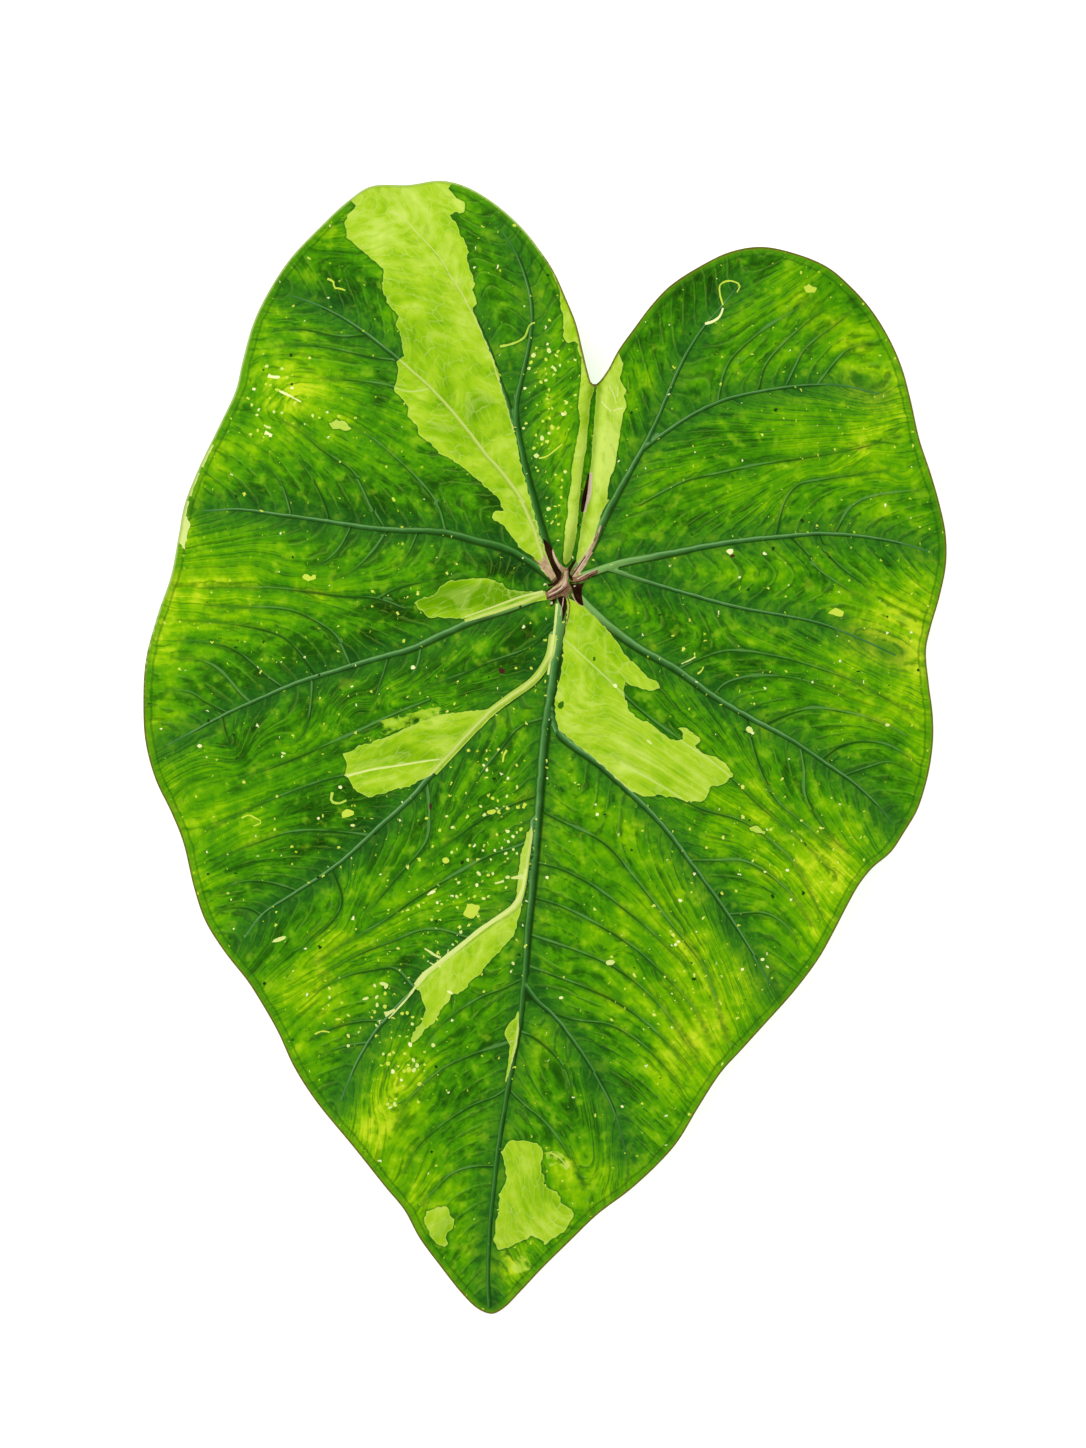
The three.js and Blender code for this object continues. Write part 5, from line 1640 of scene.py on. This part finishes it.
class Skin:
    """Shared work of the plant's finishes, which are written down as tables.

    NOISES gives for each noise its width in millimetres and its detail, and for one that is drawn out
    along the side veins also its length and its distortion. SUMS gives a base, then for each part that
    is added its name, its middle and its weight. COLOURS gives a ground, which is an sRGB hex value or a
    value and the stops of its ramp, then the coats over it. The colour named skin is the finish's own.
    """

    NAME = ""
    NOISES: dict[str, tuple[float, ...]] = {}
    SUMS: dict[str, tuple[Any, ...]] = {}
    COLOURS: dict[str, tuple[Any, ...]] = {}
    # What a height of 1 measures in millimetres, the strength of the mirror share, and its sRGB colour
    RELIEF = 0.1
    GLOSS = 0.5
    SHEEN = "#FFFFFF"
    # Width in millimetres and detail of the fine grit that breaks up every border
    GRIT = (1.1, 3.0)

    def __init__(self) -> None:
        """Start the material with the fields of the mesh and the noises."""
        self.material = new_material(self.NAME)
        self.node = functools.partial(add_node, self.material.node_tree)
        self.place = self.node("TexCoord", output="Object")
        self.paints: dict[str, Any] = {}
        self.values: dict[str, Any] = {
            name: self.node("Attribute", output="Fac", attribute_name=name)
            for name in FIELDS_FOR_SKIN + tuple(tone.value for tone in Tone)
        }
        for axis in "XYZ":
            self.values[axis] = self.node("SeparateXYZ", (self.place,), axis)
        for name, (width, detail, *drawn) in {"grit": self.GRIT, **self.NOISES}.items():
            if drawn:
                pattern, flat = self.drawn_out(width, drawn[0], Detail=detail, Distortion=drawn[1]), "2D"
            else:
                pattern, flat = self.sized(width, Detail=detail), "3D"
            self.values[name] = self.node("TexNoise", pattern, noise_dimensions=flat)

    def sized(self, pitch: float, **others: float) -> dict[str, Any]:
        """Return inputs for a pattern whose forms are a given number of millimetres wide."""
        return {"Vector": self.place, "Scale": 1.0 / (pitch * MM), **others}

    def drawn_out(self, pitch: float, length: float, **others: float) -> dict[str, Any]:
        """Return inputs for a flat pattern drawn out along the side veins.

        Args:
            pitch: width of its forms in millimetres.
            length: length of its forms in millimetres.
            **others: further inputs.

        Returns:
            The inputs by name.
        """
        across = self.node("Math", (self.values["grain"], pitch), operation="DIVIDE")
        along = self.node("Math", (self.values["run"], length), operation="DIVIDE")
        return {"Vector": self.node("CombineXYZ", (across, along)), "Scale": 1.0, **others}

    def value(self, name: str) -> Any:
        """Look up a value. A sum is added up when it is first asked for.

        Args:
            name: the value's name.

        Returns:
            The socket with the value, or a plain number.
        """
        if name not in self.values:
            self.values[name] = self.add_up(*self.SUMS[name])
        return self.values[name]

    def add_up(self, base: float, *parts: tuple[str, float, float]) -> Any:
        """Add weighted parts to a base.

        Args:
            base: the number to start from.
            *parts: for each part its name, its middle and its weight.

        Returns:
            The socket with the sum, or the base alone where there are no parts.
        """
        total: Any = base
        for name, middle, weight in parts:
            scaled = (self.value(name), weight, -middle * weight)
            scaled = self.node("Math", scaled, operation="MULTIPLY_ADD")
            total = self.node("Math", (scaled, total), operation="ADD")
        return total

    def coats(self, colour: Any, coats: Sequence[Coat]) -> Any:
        """Lay coats over a colour in their order.

        Args:
            colour: the colour beneath.
            coats: the coats.

        Returns:
            The new colour.
        """
        for coat in coats:
            value = self.value(coat.value)
            if coat.ragged:
                value = self.add_up(0.0, (coat.value, 0.0, 1.0), ("grit", 0.5, 2.0 * coat.ragged))
            ends = (value, coat.none, coat.full, 0.0, coat.opacity)
            cover = self.node("MapRange", ends, interpolation_type="SMOOTHSTEP")
            above = linear(coat.paint) if coat.paint.startswith("#") else self.paints[coat.paint]
            layers = {0: cover, 6: colour, 7: above}
            colour = self.node("Mix", layers, 2, data_type="RGBA")
        return colour

    def draw_patterns(self) -> None:
        """Add values that are neither fields of the mesh nor noises nor sums."""

    def make(self) -> bpy.types.Material:
        """Build the finish.

        Returns:
            The material.
        """
        self.draw_patterns()
        for name, (ground, *coats) in self.COLOURS.items():
            if isinstance(ground, str):
                colour = linear(ground)
            else:
                colour = self.node("ValToRGB", (self.value(ground[0]),), stops=ground[1])
            self.paints[name] = self.coats(colour, coats)
        relief = {"Height": self.value("height"), "Distance": self.RELIEF * MM, "Strength": 1.0}
        surface = self.node("BsdfPrincipled", {
            "Base Color": self.paints["skin"], "Roughness": self.value("roughness"),
            "Normal": self.node("Bump", relief), "IOR": WAX_IOR,
            "Specular IOR Level": self.GLOSS, "Specular Tint": linear(self.SHEEN),
        })
        self.node("OutputMaterial", (surface,))
        return self.material


class UpperSkin(Skin):
    """Living taro blade seen from above.

    The waxy cuticle gives a faint satin sheen. The green swings between deep green along the veins and
    yellow green between them, in soft blotches a few millimetres long that run with the side veins. Along
    the primary veins that deep green is partly painted shade of the valleys they run in, and along the side
    veins it is painted shade of their grooves. The ribs and the side veins get a painted highlight on their
    upper left side and painted shade on the other, and the hollows of the hub are painted as shadow. The
    patches that lack most of their green are lime with a net of paler veins.
    """

    NAME = "taro_blade_waxy_upper_skin"
    RELIEF = 0.14
    GLOSS = 0.2
    SHEEN = "#DEF264"
    NOISES = {
        "blotch": (5.0, 3.0, 4.8, 0.15), "streak": (2.2, 2.0, 3.4, 0.15), "fibre": (2.4, 2.0, 9.0, 0.0),
        "cloud": (12.0, 4.0), "mottle": (3.6, 3.0),
    }
    SUMS = {
        "tone": (
            0.54, ("zone", 0.0, 1.15), ("blotch", 0.5, 0.5), ("streak", 0.5, 0.2), ("cloud", 0.5, 0.75),
            ("mottle", 0.5, 0.45), ("grit", 0.5, 0.2),
        ),
        "lime_tone": (
            0.60, ("lime_zone", 0.0, 1.0), ("blotch", 0.5, 0.8), ("cloud", 0.5, 0.8), ("mottle", 0.5, 0.6),
        ),
        "net": (0.0, ("cell_edge", 0.0, 1.0), ("mottle", 0.45, 0.3)),
        "wavy_grain": (0.0, ("grain", 0.0, 1.0), ("mottle", 0.5, 1.2)),
        "minor_break": (0.0, ("far", 0.0, 1.0), ("grit", 0.5, 0.5), ("mottle", 0.5, 2.8)),
        "pale_minor": (0.0, ("pale_gap", 0.0, 1.0), ("minor_break", 0.0, 1.0)),
        "dark_minor": (0.0, ("dark_gap", 0.0, 1.0), ("minor_break", 0.0, 1.0)),
        # Painted shadow and painted highlight lines beside each side vein, broken up by the cloud
        "dark_flank": (0.0, ("shadow_side", 0.0, 1.0), ("cloud", 0.5, -0.8)),
        "lit_flank": (0.0, ("lit_side", 0.0, 1.0), ("cloud", 0.5, 1.6)),
        "off_margin_vein": (-MARGIN_VEIN, ("edge", 0.0, 1.0), ("mottle", 0.5, 1.2)),
        # Painted shadow along the shaded side of the ribs
        "rib_shade": (0.0, ("spread", 0.0, 1.0), ("lit", 0.0, 0.8)),
        # Place on the ribs' ramps, from painted shade on one side to a painted highlight on the lit side,
        # with random tone; the stretch by the hub where well lit ribs turn pale; and how much painted light
        # each rib has
        "rib_shading_and_tone": (0.5, ("lit", 0.0, 0.45), ("mottle", 0.5, 0.5)),
        "dull_root": (0.0, ("hub", 0.0, 1.0), ("glow", 0.0, -36.0)),
        "rib_glow": (0.0, ("glow", 0.0, 1.0), ("cloud", 0.5, 1.2)),
        "stain": (0.0, ("hub", 0.0, 1.0), ("spread", 0.0, 2.5)),
        "partly_lime": (0.0, (Tone.MID.value, 0.0, 1.0), ("mottle", 0.5, 1.4)),
        "corner": (0.0, ("X", 0.0, 0.7 / MM), ("Y", 0.0, -0.7 / MM), ("grit", 0.5, 40.0)),
        "height": (0.5, ("streak", 0.5, 0.5), ("mottle", 0.5, 0.5), ("grit", 0.5, 0.3)),
        "roughness": (0.5, ("grit", 0.5, 0.16), ("cloud", 0.5, 0.12)),
    }
    # Width and length of the meshes of the finest veins, in millimetres
    NET = (3.4, 1.9)
    # How far beside its vein the painted shadow line and the painted highlight line of a side vein run, in
    # millimetres
    FLANKS = {"shadow_side": -0.24, "lit_side": 0.16}
    # Past this distance from the vein, in millimetres, those lines thin out
    FLANK_LIMIT = 0.5
    # How far the pale and the dark lines of the minor veins are moved, in millimetres
    MINOR_SHIFTS = {"pale_gap": 0.55, "dark_gap": 0.0}
    # From which to which distance from the primary vein they thin out, and what their gap grows by
    MINOR_FADE = (8.0, 18.0, 0.0, 0.5)
    # How far the outlines of pinpricks are shaken, and by how wide a noise, in millimetres
    SHAKE = (1.5, 0.9)
    # The smallest pinprick, and how much larger the others get, as shares of their radius
    PRICK_SIZES = (0.4, 1.1)
    # How far inside and outside its outline a pinprick's colour fades, in millimetres
    PRICK_BORDER = (-0.1, 0.06)
    # Pinpricks: distance between them and their radius in millimetres, paint, and the chance of one in
    # each place everywhere and besides where specks lie thickest
    PRICKS = (
        (4.2, 0.25, "#D4E850", 0.16, 0.45), (3.0, 0.17, "#B4D82C", 0.16, 0.40),
        (6.4, 0.25, "#F8FCB8", 0.17, 0.30), (2.6, 0.30, "#E0F068", 0.0, 0.40),
        (7.5, 0.34, "#123C0A", 0.14, 0.20),
    )
    # Colours of the marks that are stored on the faces, in the order in which they are laid on; the shaded
    # hollows are painted shadow, and the pale pink marks at the hub are painted highlights
    MARKS = {
        Tone.LIME: "lime", Tone.BROWN: "bark", Tone.TAN: "tan", Tone.CREAM: "#E2F08E",
        Tone.YELLOW: "#D2E84C", Tone.WHITE: "#FAFEB4", Tone.SPECK: "#4A1A22", Tone.HOLLOW: "#2A0E0C",
        Tone.GREEN: "#34720E", Tone.SHINE: "#E6CDB8",
    }
    COLOURS = {
        # A darker, painted shaded copy of the rib's colours, taken by ribs with little painted light
        "shaded_rib": (("rib_shading_and_tone", (
            (0.0, "#123C0C"), (1.0, "#2A681C"), (0.3, "#245C1C"), (0.6, "#337228"), (0.8, "#4C8C3A"),
        )),),
        # The rib's colours: a painted highlight towards the lit side and painted shade on the other, paler
        # green roots near the hub on well lit ribs, and the shaded copy where the rib has little painted
        # light
        "rib": (
            ("rib_shading_and_tone", (
                (0.0, "#123F0C"), (1.0, "#2C6C1E"), (0.2, "#2C6224"), (0.42, "#41793A"), (0.62, "#5B944F"),
                (0.76, "#83B271"), (0.9, "#5C9A4C"),
            )),
            Coat("dull_root", "#98CA6C", -24.0, 0.0, 0.65),
            Coat("rib_glow", "shaded_rib", 0.0, 1.0),
        ),
        # Pale ribs inside the lime patches, with the same painted highlight and shade across them
        "pale_rib": (("rib_shading_and_tone", (
            (0.0, "#84AE2C"), (1.0, "#A6CA48"), (0.35, "#B4D24C"), (0.6, "#DCE684"),
        )),),
        "lime": (
            ("lime_tone", ((0.0, "#68A200"), (1.0, "#D4EE68"), (0.34, "#90C40C"), (0.6, "#AED626"))),
            Coat("streak", "#86B422", 0.24, 0.44, 0.35),
            Coat("fibre", "#DCF070", 0.30, 0.46, 0.22),
            Coat("net", "#DCF07C", 0.0, 0.09, 0.25),
            Coat("seam", "#86AE1C", 1.0, 2.6, 0.5),
            Coat("side", "#D4EA86", 0.05, 0.4, 0.6),
            Coat("border", "#C2E05C", 0.05, 0.4, 0.5),
            Coat("spread", "pale_rib", 0.7, 1.1, 0.85),
        ),
        "bark": (("grit", ((0.3, "#644030"), (0.7, "#A88062"))),),
        "tan": (("grit", ((0.3, "#BC9874"), (0.7, "#DCC49E"))),),
        "rim": ("#6A5216", Coat("corner", "#B4CC74", -98.0, -84.0)),
        "skin": (
            ("tone", (
                (0.0, "#062C02"), (1.0, "#C8E420"), (0.20, "#0E4604"), (0.38, "#276E06"), (0.54, "#469604"),
                (0.70, "#68AE00"), (0.86, "#94CA02"),
            )),
            Coat("net", "#9CCB2E", 0.0, 0.09, 0.1),
            Coat("streak", "#0F4406", 0.28, 0.46, 0.42),
            Coat("mottle", "#A6D226", 0.72, 0.56, 0.3),
            Coat("pale_minor", "#84BE3A", 0.05, 0.4, 0.25),
            Coat("dark_minor", "#0F4408", 0.08, 0.45, 0.46),
            # Darker green along the primary veins: partly the blade's own colour, partly painted shade of
            # their valleys
            Coat("vein", "#165A20", 0.4, 7.5, 0.52, 2.0),
            # Painted shade in the grooves along the side veins
            Coat("side", "#1C5A14", 0.2, 1.8, 0.45, 0.8),
            Coat("border", "#1C5A0A", 0.05, 0.7, 0.55, 0.15),
            Coat("edge", "#52980E", 0.9, 2.3, 0.5, 0.6),
            # Painted shadow on the far side of each side vein and a painted highlight on its lit side
            Coat("dark_flank", "#0C3E0A", 0.04, 0.36, 0.75),
            Coat("lit_flank", "#6EAA54", 0.0, 0.26, 0.5),
            Coat("margin_vein", "#1E5A0E", 0.1, 0.5, 0.5),
            # Painted shadow: a dark line just beside the ribs
            Coat("spread", "#1E5212", 1.05, 1.6, 0.6),
            # Painted shadow along the shaded side of the ribs
            Coat("rib_shade", "#0C3406", 0.25, 0.75, 0.85),
            Coat("spread", "rib", 0.95, 1.2),
            Coat("stain", "#7C5A3E", 4.0, 7.5, 0.85),
            *(Coat(f"prick_{pitch}", paint, 0.0, 1.0) for pitch, _, paint, *_ in PRICKS),
            Coat("partly_lime", "lime", 1.05, 0.85, 0.8),
            *(Coat(tone.value, paint, 1.0, 0.0) for tone, paint in MARKS.items()),
            Coat("edge", "#7CAA22", 0.5, 1.0, 0.35, 0.25),
            Coat("edge", "rim", 0.26, 0.62, 0.85, 0.25),
        ),
    }

    def draw_patterns(self) -> None:
        """Draw the net, the painted shadow and highlight lines beside the side veins, the minor veins and
        the pinpricks.
        """
        cells = {"feature": "DISTANCE_TO_EDGE", "voronoi_dimensions": "2D"}
        self.values["cell_edge"] = self.node("TexVoronoi", self.drawn_out(*self.NET), **cells)
        inset = self.value("off_margin_vein")
        self.values["margin_vein"] = self.node("Math", (inset,), operation="ABSOLUTE")
        for name, shift in self.FLANKS.items():
            self.values[name] = self.beside_side_veins(shift)
        self.values["far"] = self.node("MapRange", (self.value("run"), *self.MINOR_FADE))
        for name, shift in self.MINOR_SHIFTS.items():
            moved = self.node("Math", (self.value("wavy_grain"), shift), operation="ADD")
            gap = self.node("Math", (moved, MINOR_PITCH / 2.0), operation="PINGPONG")
            self.values[name] = gap
        self.draw_pricks()

    def beside_side_veins(self, shift: float) -> bpy.types.NodeSocket:
        """Return the distance from a line beside each side vein, on its lit side if the shift is positive.

        Args:
            shift: how far beside the vein the line runs, in millimetres.

        Returns:
            The distance in millimetres, which grows towards the vein's end.
        """
        gap = self.node("Math", (self.value("side_lit"), shift), operation="SUBTRACT")
        gap = self.node("Math", (gap,), operation="ABSOLUTE")
        past = self.node("Math", (self.value("side"), self.FLANK_LIMIT), operation="SUBTRACT")
        gap = self.node("Math", (gap, past), operation="MAXIMUM")
        return self.node("Math", (gap, self.value("side_end")), operation="ADD")

    def draw_pricks(self) -> None:
        """Scatter pinprick flecks that have lost their green, and a few dark ones."""
        node = self.node
        far, width = self.SHAKE
        smallest, growth = self.PRICK_SIZES
        inside, outside = self.PRICK_BORDER
        shake = node("TexNoise", self.sized(width, Detail=2.0), "Color")
        shake = node("VectorMath", (shake, (0.5, 0.5, 0.5)), operation="SUBTRACT")
        shake = node("VectorMath", {0: shake, "Scale": far * MM}, operation="SCALE")
        place = node("VectorMath", (self.place, shake), operation="ADD")
        for pitch, radius, _, share, extra in self.PRICKS:
            cells = {**self.sized(pitch), "Vector": place}
            draw = node("TexVoronoi", cells, "Color", voronoi_dimensions="2D")
            gap = node("TexVoronoi", cells, "Distance", voronoi_dimensions="2D")
            chance = (self.value("specks"), extra, share)
            chance = node("Math", chance, operation="MULTIPLY_ADD")
            first, second = (node("SeparateColor", (draw,), number) for number in (0, 1))
            missed = node("Math", (first, chance), operation="GREATER_THAN")
            size = (second, radius * growth / pitch, radius * smallest / pitch)
            size = node("Math", size, operation="MULTIPLY_ADD")
            gap = node("Math", (gap, size), operation="SUBTRACT")
            gap = node("Math", (gap, missed), operation="ADD")
            ends = (gap, inside / pitch, outside / pitch)
            self.values[f"prick_{pitch}"] = node("MapRange", ends)


class LowerSkin(Skin):
    """Underside of the blade: paler and duller than the top, with pale raised ribs."""

    NAME = "taro_blade_matt_underside"
    RELIEF = 0.08
    GLOSS = 0.3
    NOISES = {"broad": (2.6, 3.0, 17.0, 0.0), "cloud": (11.0, 4.0)}
    SUMS = {
        "tone": (0.5, ("zone", 0.0, 0.6), ("broad", 0.5, 0.6), ("cloud", 0.5, 0.5)),
        "height": (0.5, ("grit", 0.5, 0.6)),
        "roughness": (0.62, ("cloud", 0.5, 0.14)),
    }
    COLOURS = {
        "skin": (
            ("tone", ((0.0, "#4C8240"), (1.0, "#93B86C"), (0.5, "#6E9E55"))),
            Coat("side", "#A9C487", 0.15, 0.9, 0.8, 0.2),
            Coat("edge", "#8A7A24", 0.08, 0.42, 0.7, 0.2),
            Coat(Tone.LIME.value, "#C6DA8C", 1.0, 0.0),
            Coat("spread", "#C3D6A0", 1.2, 2.6, 0.9),
        ),
    }


class StalkSkin(Skin):
    """Waxy skin of the leaf stalk: green with fine lengthwise ribs, browner towards the hub."""

    NAME = "taro_stalk_waxy_skin"
    NOISES = {"cloud": (5.0, 4.0)}
    SUMS = {"height": (0.5, ("grit", 0.5, 0.8)), "roughness": (0.46, ("cloud", 0.5, 0.2))}
    COLOURS = {
        "skin": (
            ("cloud", ((0.25, "#6E8636"), (0.8, "#A3B768"), (0.55, "#88A04A"))),
            Coat("Z", "#6E4A36", 17.0 * MM, 10.0 * MM, 0.8),
        ),
    }


class StalkPith(Skin):
    """Cut face of the stalk: pale, moist and spongy, with air channels a fraction of a millimetre wide."""

    NAME = "taro_stalk_spongy_cut"
    RELIEF = 0.2
    # Distance between the air channels in millimetres, and how unevenly they lie
    CHANNELS = (0.7, 0.9)
    SUMS = {"roughness": (0.6,)}
    COLOURS = {"skin": (("height", ((0.0, "#8C9A58"), (0.7, "#E2E6BC"), (0.3, "#C6CF94"))),)}

    def draw_patterns(self) -> None:
        """Draw the air channels."""
        pitch, uneven = self.CHANNELS
        channels = self.sized(pitch, Randomness=uneven)
        self.values["height"] = self.node("TexVoronoi", channels, "Distance")


@dataclass
class PetioleStub:
    """The short end of the leaf stalk under the hub: a tapered rod that bends towards the tip.

    Sizes are in millimetres. The gap lies between the flat pad of the blade and the rod's upper end, and
    the bend and the lower end are so far out and down from there.
    """

    hub: np.ndarray
    pad_height: float
    gap: float = 0.3
    top_radius: float = 5.0
    end_radius: float = 4.3
    reach: float = 11.0
    drop: float = 9.5
    bend_reach: float = 1.3
    bend_drop: float = 7.0
    sidestep: float = 1.0
    # Steps along the rod, and how many more than two go round each half of it
    length_steps: int = 16
    round_steps: int = 14
    ribs: int = 16
    # Half of the ribs' depth as a share of the radius
    rib_depth: float = 0.012
    join_distance: float = 0.01
    smooth_angle: float = 40.0
    # A face with more corners than this is a cut end
    side_corners: int = 4

    def build(self) -> bpy.types.Object:
        """Make the stalk's end from a bevelled curve.

        Returns:
            The stalk's end.
        """
        start = Vector((*self.hub, self.pad_height - self.gap))
        bend = start + Vector((0.0, -self.bend_reach, -self.bend_drop))
        end = start + Vector((-self.sidestep, -self.reach, -self.drop))
        select_only()
        bpy.ops.curve.primitive_bezier_curve_add()
        stub = bpy.context.object
        stub.name = "petiole_stub_fine"
        curve = stub.data
        curve.dimensions = "3D"
        curve.resolution_u = self.length_steps
        curve.bevel_depth = self.top_radius * MM
        curve.bevel_resolution = self.round_steps
        curve.use_fill_caps = True
        first, last = curve.splines[0].bezier_points
        for point, centre, radius in ((first, start, 1.0), (last, end, self.end_radius / self.top_radius)):
            point.handle_left_type = point.handle_right_type = "FREE"
            point.co = centre * MM
            point.radius = radius
        # Both inner handles lie two thirds of the way to the bend, which makes the curve a parabola
        down, back = (place.lerp(bend, 2.0 / 3.0) for place in (start, end))
        first.handle_right, first.handle_left = down * MM, (start * 2.0 - down) * MM
        last.handle_left, last.handle_right = back * MM, (end * 2.0 - back) * MM
        bpy.ops.object.convert(target="MESH")
        stub = bpy.context.object
        with whole_mesh(stub):
            bpy.ops.mesh.remove_doubles(threshold=self.join_distance * MM)
            bpy.ops.mesh.normals_make_consistent(inside=False)
        self._flute(stub, start, bend, end)
        select_only(stub)
        bpy.ops.object.shade_smooth_by_angle(angle=math.radians(self.smooth_angle))
        return stub

    def _flute(self, stub: bpy.types.Object, start: Vector, bend: Vector, end: Vector) -> None:
        """Draw the skin in between fine lengthwise ribs.

        Args:
            stub: the stalk's end.
            start: the upper end of its middle line, in millimetres.
            bend: the place towards which both ends of the line head.
            end: the lower end.
        """
        for vertex in stub.data.vertices:
            place = vertex.co / MM
            share = min(1.0, max(0.0, (start.z - place.z) / self.drop))
            centre = start.lerp(bend, share).lerp(bend.lerp(end, share), share)
            spoke = place - centre
            turn = math.atan2(spoke.x, spoke.y + spoke.z)
            vertex.co = (place - spoke * self.rib_depth * (1.0 + math.cos(self.ribs * turn))) * MM

    def dress(self, stub: bpy.types.Object) -> None:
        """Give the skin and the cut face their finishes.

        Args:
            stub: the stalk's end that build has made.
        """
        stub.data.materials.append(StalkSkin().make())
        stub.data.materials.append(StalkPith().make())
        for face in stub.data.polygons:
            if len(face.vertices) > self.side_corners:
                face.material_index = 1
                face.use_smooth = False


@dataclass
class Studio:
    """Plain pale floor, soft light and the camera above the leaf, in metres and watts."""

    picture: Picture
    origin: np.ndarray
    distance: float = 4.0
    focus_height: float = 0.008
    # In millimetres, as lenses have it
    film_height: float = 24.0
    far_end: float = 50.0
    floor_size: float = 14.0
    floor_drop: float = 0.0002
    paper: str = "#F4F4F4"
    paper_glow: float = 0.6
    paper_roughness: float = 0.9
    paper_gloss: float = 0.1
    fibres_per_metre: float = 900.0
    fibre_height: float = 0.00003
    fibre_strength: float = 0.3
    sky_strength: float = 0.69
    # Name, place, size and strength of each lamp
    lamps: tuple[tuple[str, tuple[float, float, float], float, float], ...] = (
        ("key", (-0.8, 1.2, 2.2), 1.6, 21.0), ("fill", (1.2, -0.8, 2.6), 2.4, 5.0),
    )

    def floor(self) -> bpy.types.Object:
        """Lay the sheet of white paper.

        Returns:
            The floor.
        """
        select_only()
        bpy.ops.mesh.primitive_plane_add(size=self.floor_size, location=(0.0, 0.0, -self.floor_drop))
        floor = bpy.context.object
        floor.name = "floor"
        material = new_material("matt_white_paper")
        tree = material.node_tree
        fibres = add_node(tree, "TexNoise", {"Scale": self.fibres_per_metre, "Detail": 3.0})
        relief = {"Height": fibres, "Distance": self.fibre_height, "Strength": self.fibre_strength}
        surface = add_node(tree, "BsdfPrincipled", {
            "Base Color": linear(self.paper), "Roughness": self.paper_roughness,
            "Specular IOR Level": self.paper_gloss, "Normal": add_node(tree, "Bump", relief),
            "Emission Color": linear(self.paper), "Emission Strength": self.paper_glow,
        })
        add_node(tree, "OutputMaterial", (surface,))
        floor.data.materials.append(material)
        return floor

    def light(self) -> None:
        """Hang a large soft key to the upper left, a fill opposite it, and an even white sky."""
        for name, place, size, watts in self.lamps:
            select_only()
            bpy.ops.object.light_add(type="AREA", location=place)
            lamp = bpy.context.object
            lamp.name = name
            lamp.data.size = size
            lamp.data.energy = watts
            lamp.rotation_euler = (-Vector(place)).to_track_quat("-Z", "Y").to_euler()
        world = bpy.data.worlds.new("white_sky")
        world.use_nodes = True
        sky = world.node_tree.nodes["Background"]
        sky.inputs["Color"].default_value = linear("#FFFFFF")
        sky.inputs["Strength"].default_value = self.sky_strength
        bpy.context.scene.world = world
        bpy.context.scene.view_settings.view_transform = "Standard"

    def camera(self) -> bpy.types.Object:
        """Place the camera straight above, so that its frame is the reference picture's.

        Returns:
            The camera.
        """
        pixel = self.picture.pixel * MM
        x = (self.picture.width / 2.0) * pixel - self.origin[0] * MM
        y = -(self.picture.height / 2.0) * pixel - self.origin[1] * MM
        bpy.ops.object.camera_add(location=(x, y, self.distance), rotation=(0.0, 0.0, 0.0))
        camera = bpy.context.object
        camera.name = "camera"
        lens = camera.data
        lens.sensor_fit = "VERTICAL"
        lens.sensor_height = self.film_height
        frame_height = self.picture.height * pixel
        lens.lens = self.film_height * (self.distance - self.focus_height) / frame_height
        lens.clip_end = self.far_end
        bpy.context.scene.camera = camera
        return camera


def main() -> None:
    """Build and dress the leaf, its stalk's end and the studio."""
    logging.basicConfig(level=logging.INFO, format="%(name)s: %(message)s")
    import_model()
    plan = Plan(Picture())
    studio = Studio(plan.picture, plan.origin)
    studio.floor()
    studio.light()
    studio.camera()

    leaf = LeafBlade(BladePlan(plan))
    blade = leaf.build()
    leaf.dress(blade)
    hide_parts("leaf_blade")
    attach(blade, "root")
    LOG.info("blade: %d points, %d faces", len(blade.data.vertices), len(blade.data.polygons))

    stalk = PetioleStub(leaf.layout.hub, leaf.pad_height())
    stub = stalk.build()
    stalk.dress(stub)
    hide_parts("petiole_stub")
    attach(stub, "root")
    LOG.info("stalk's end: %d points, %d faces", len(stub.data.vertices), len(stub.data.polygons))


if __name__ == "__main__":
    main()
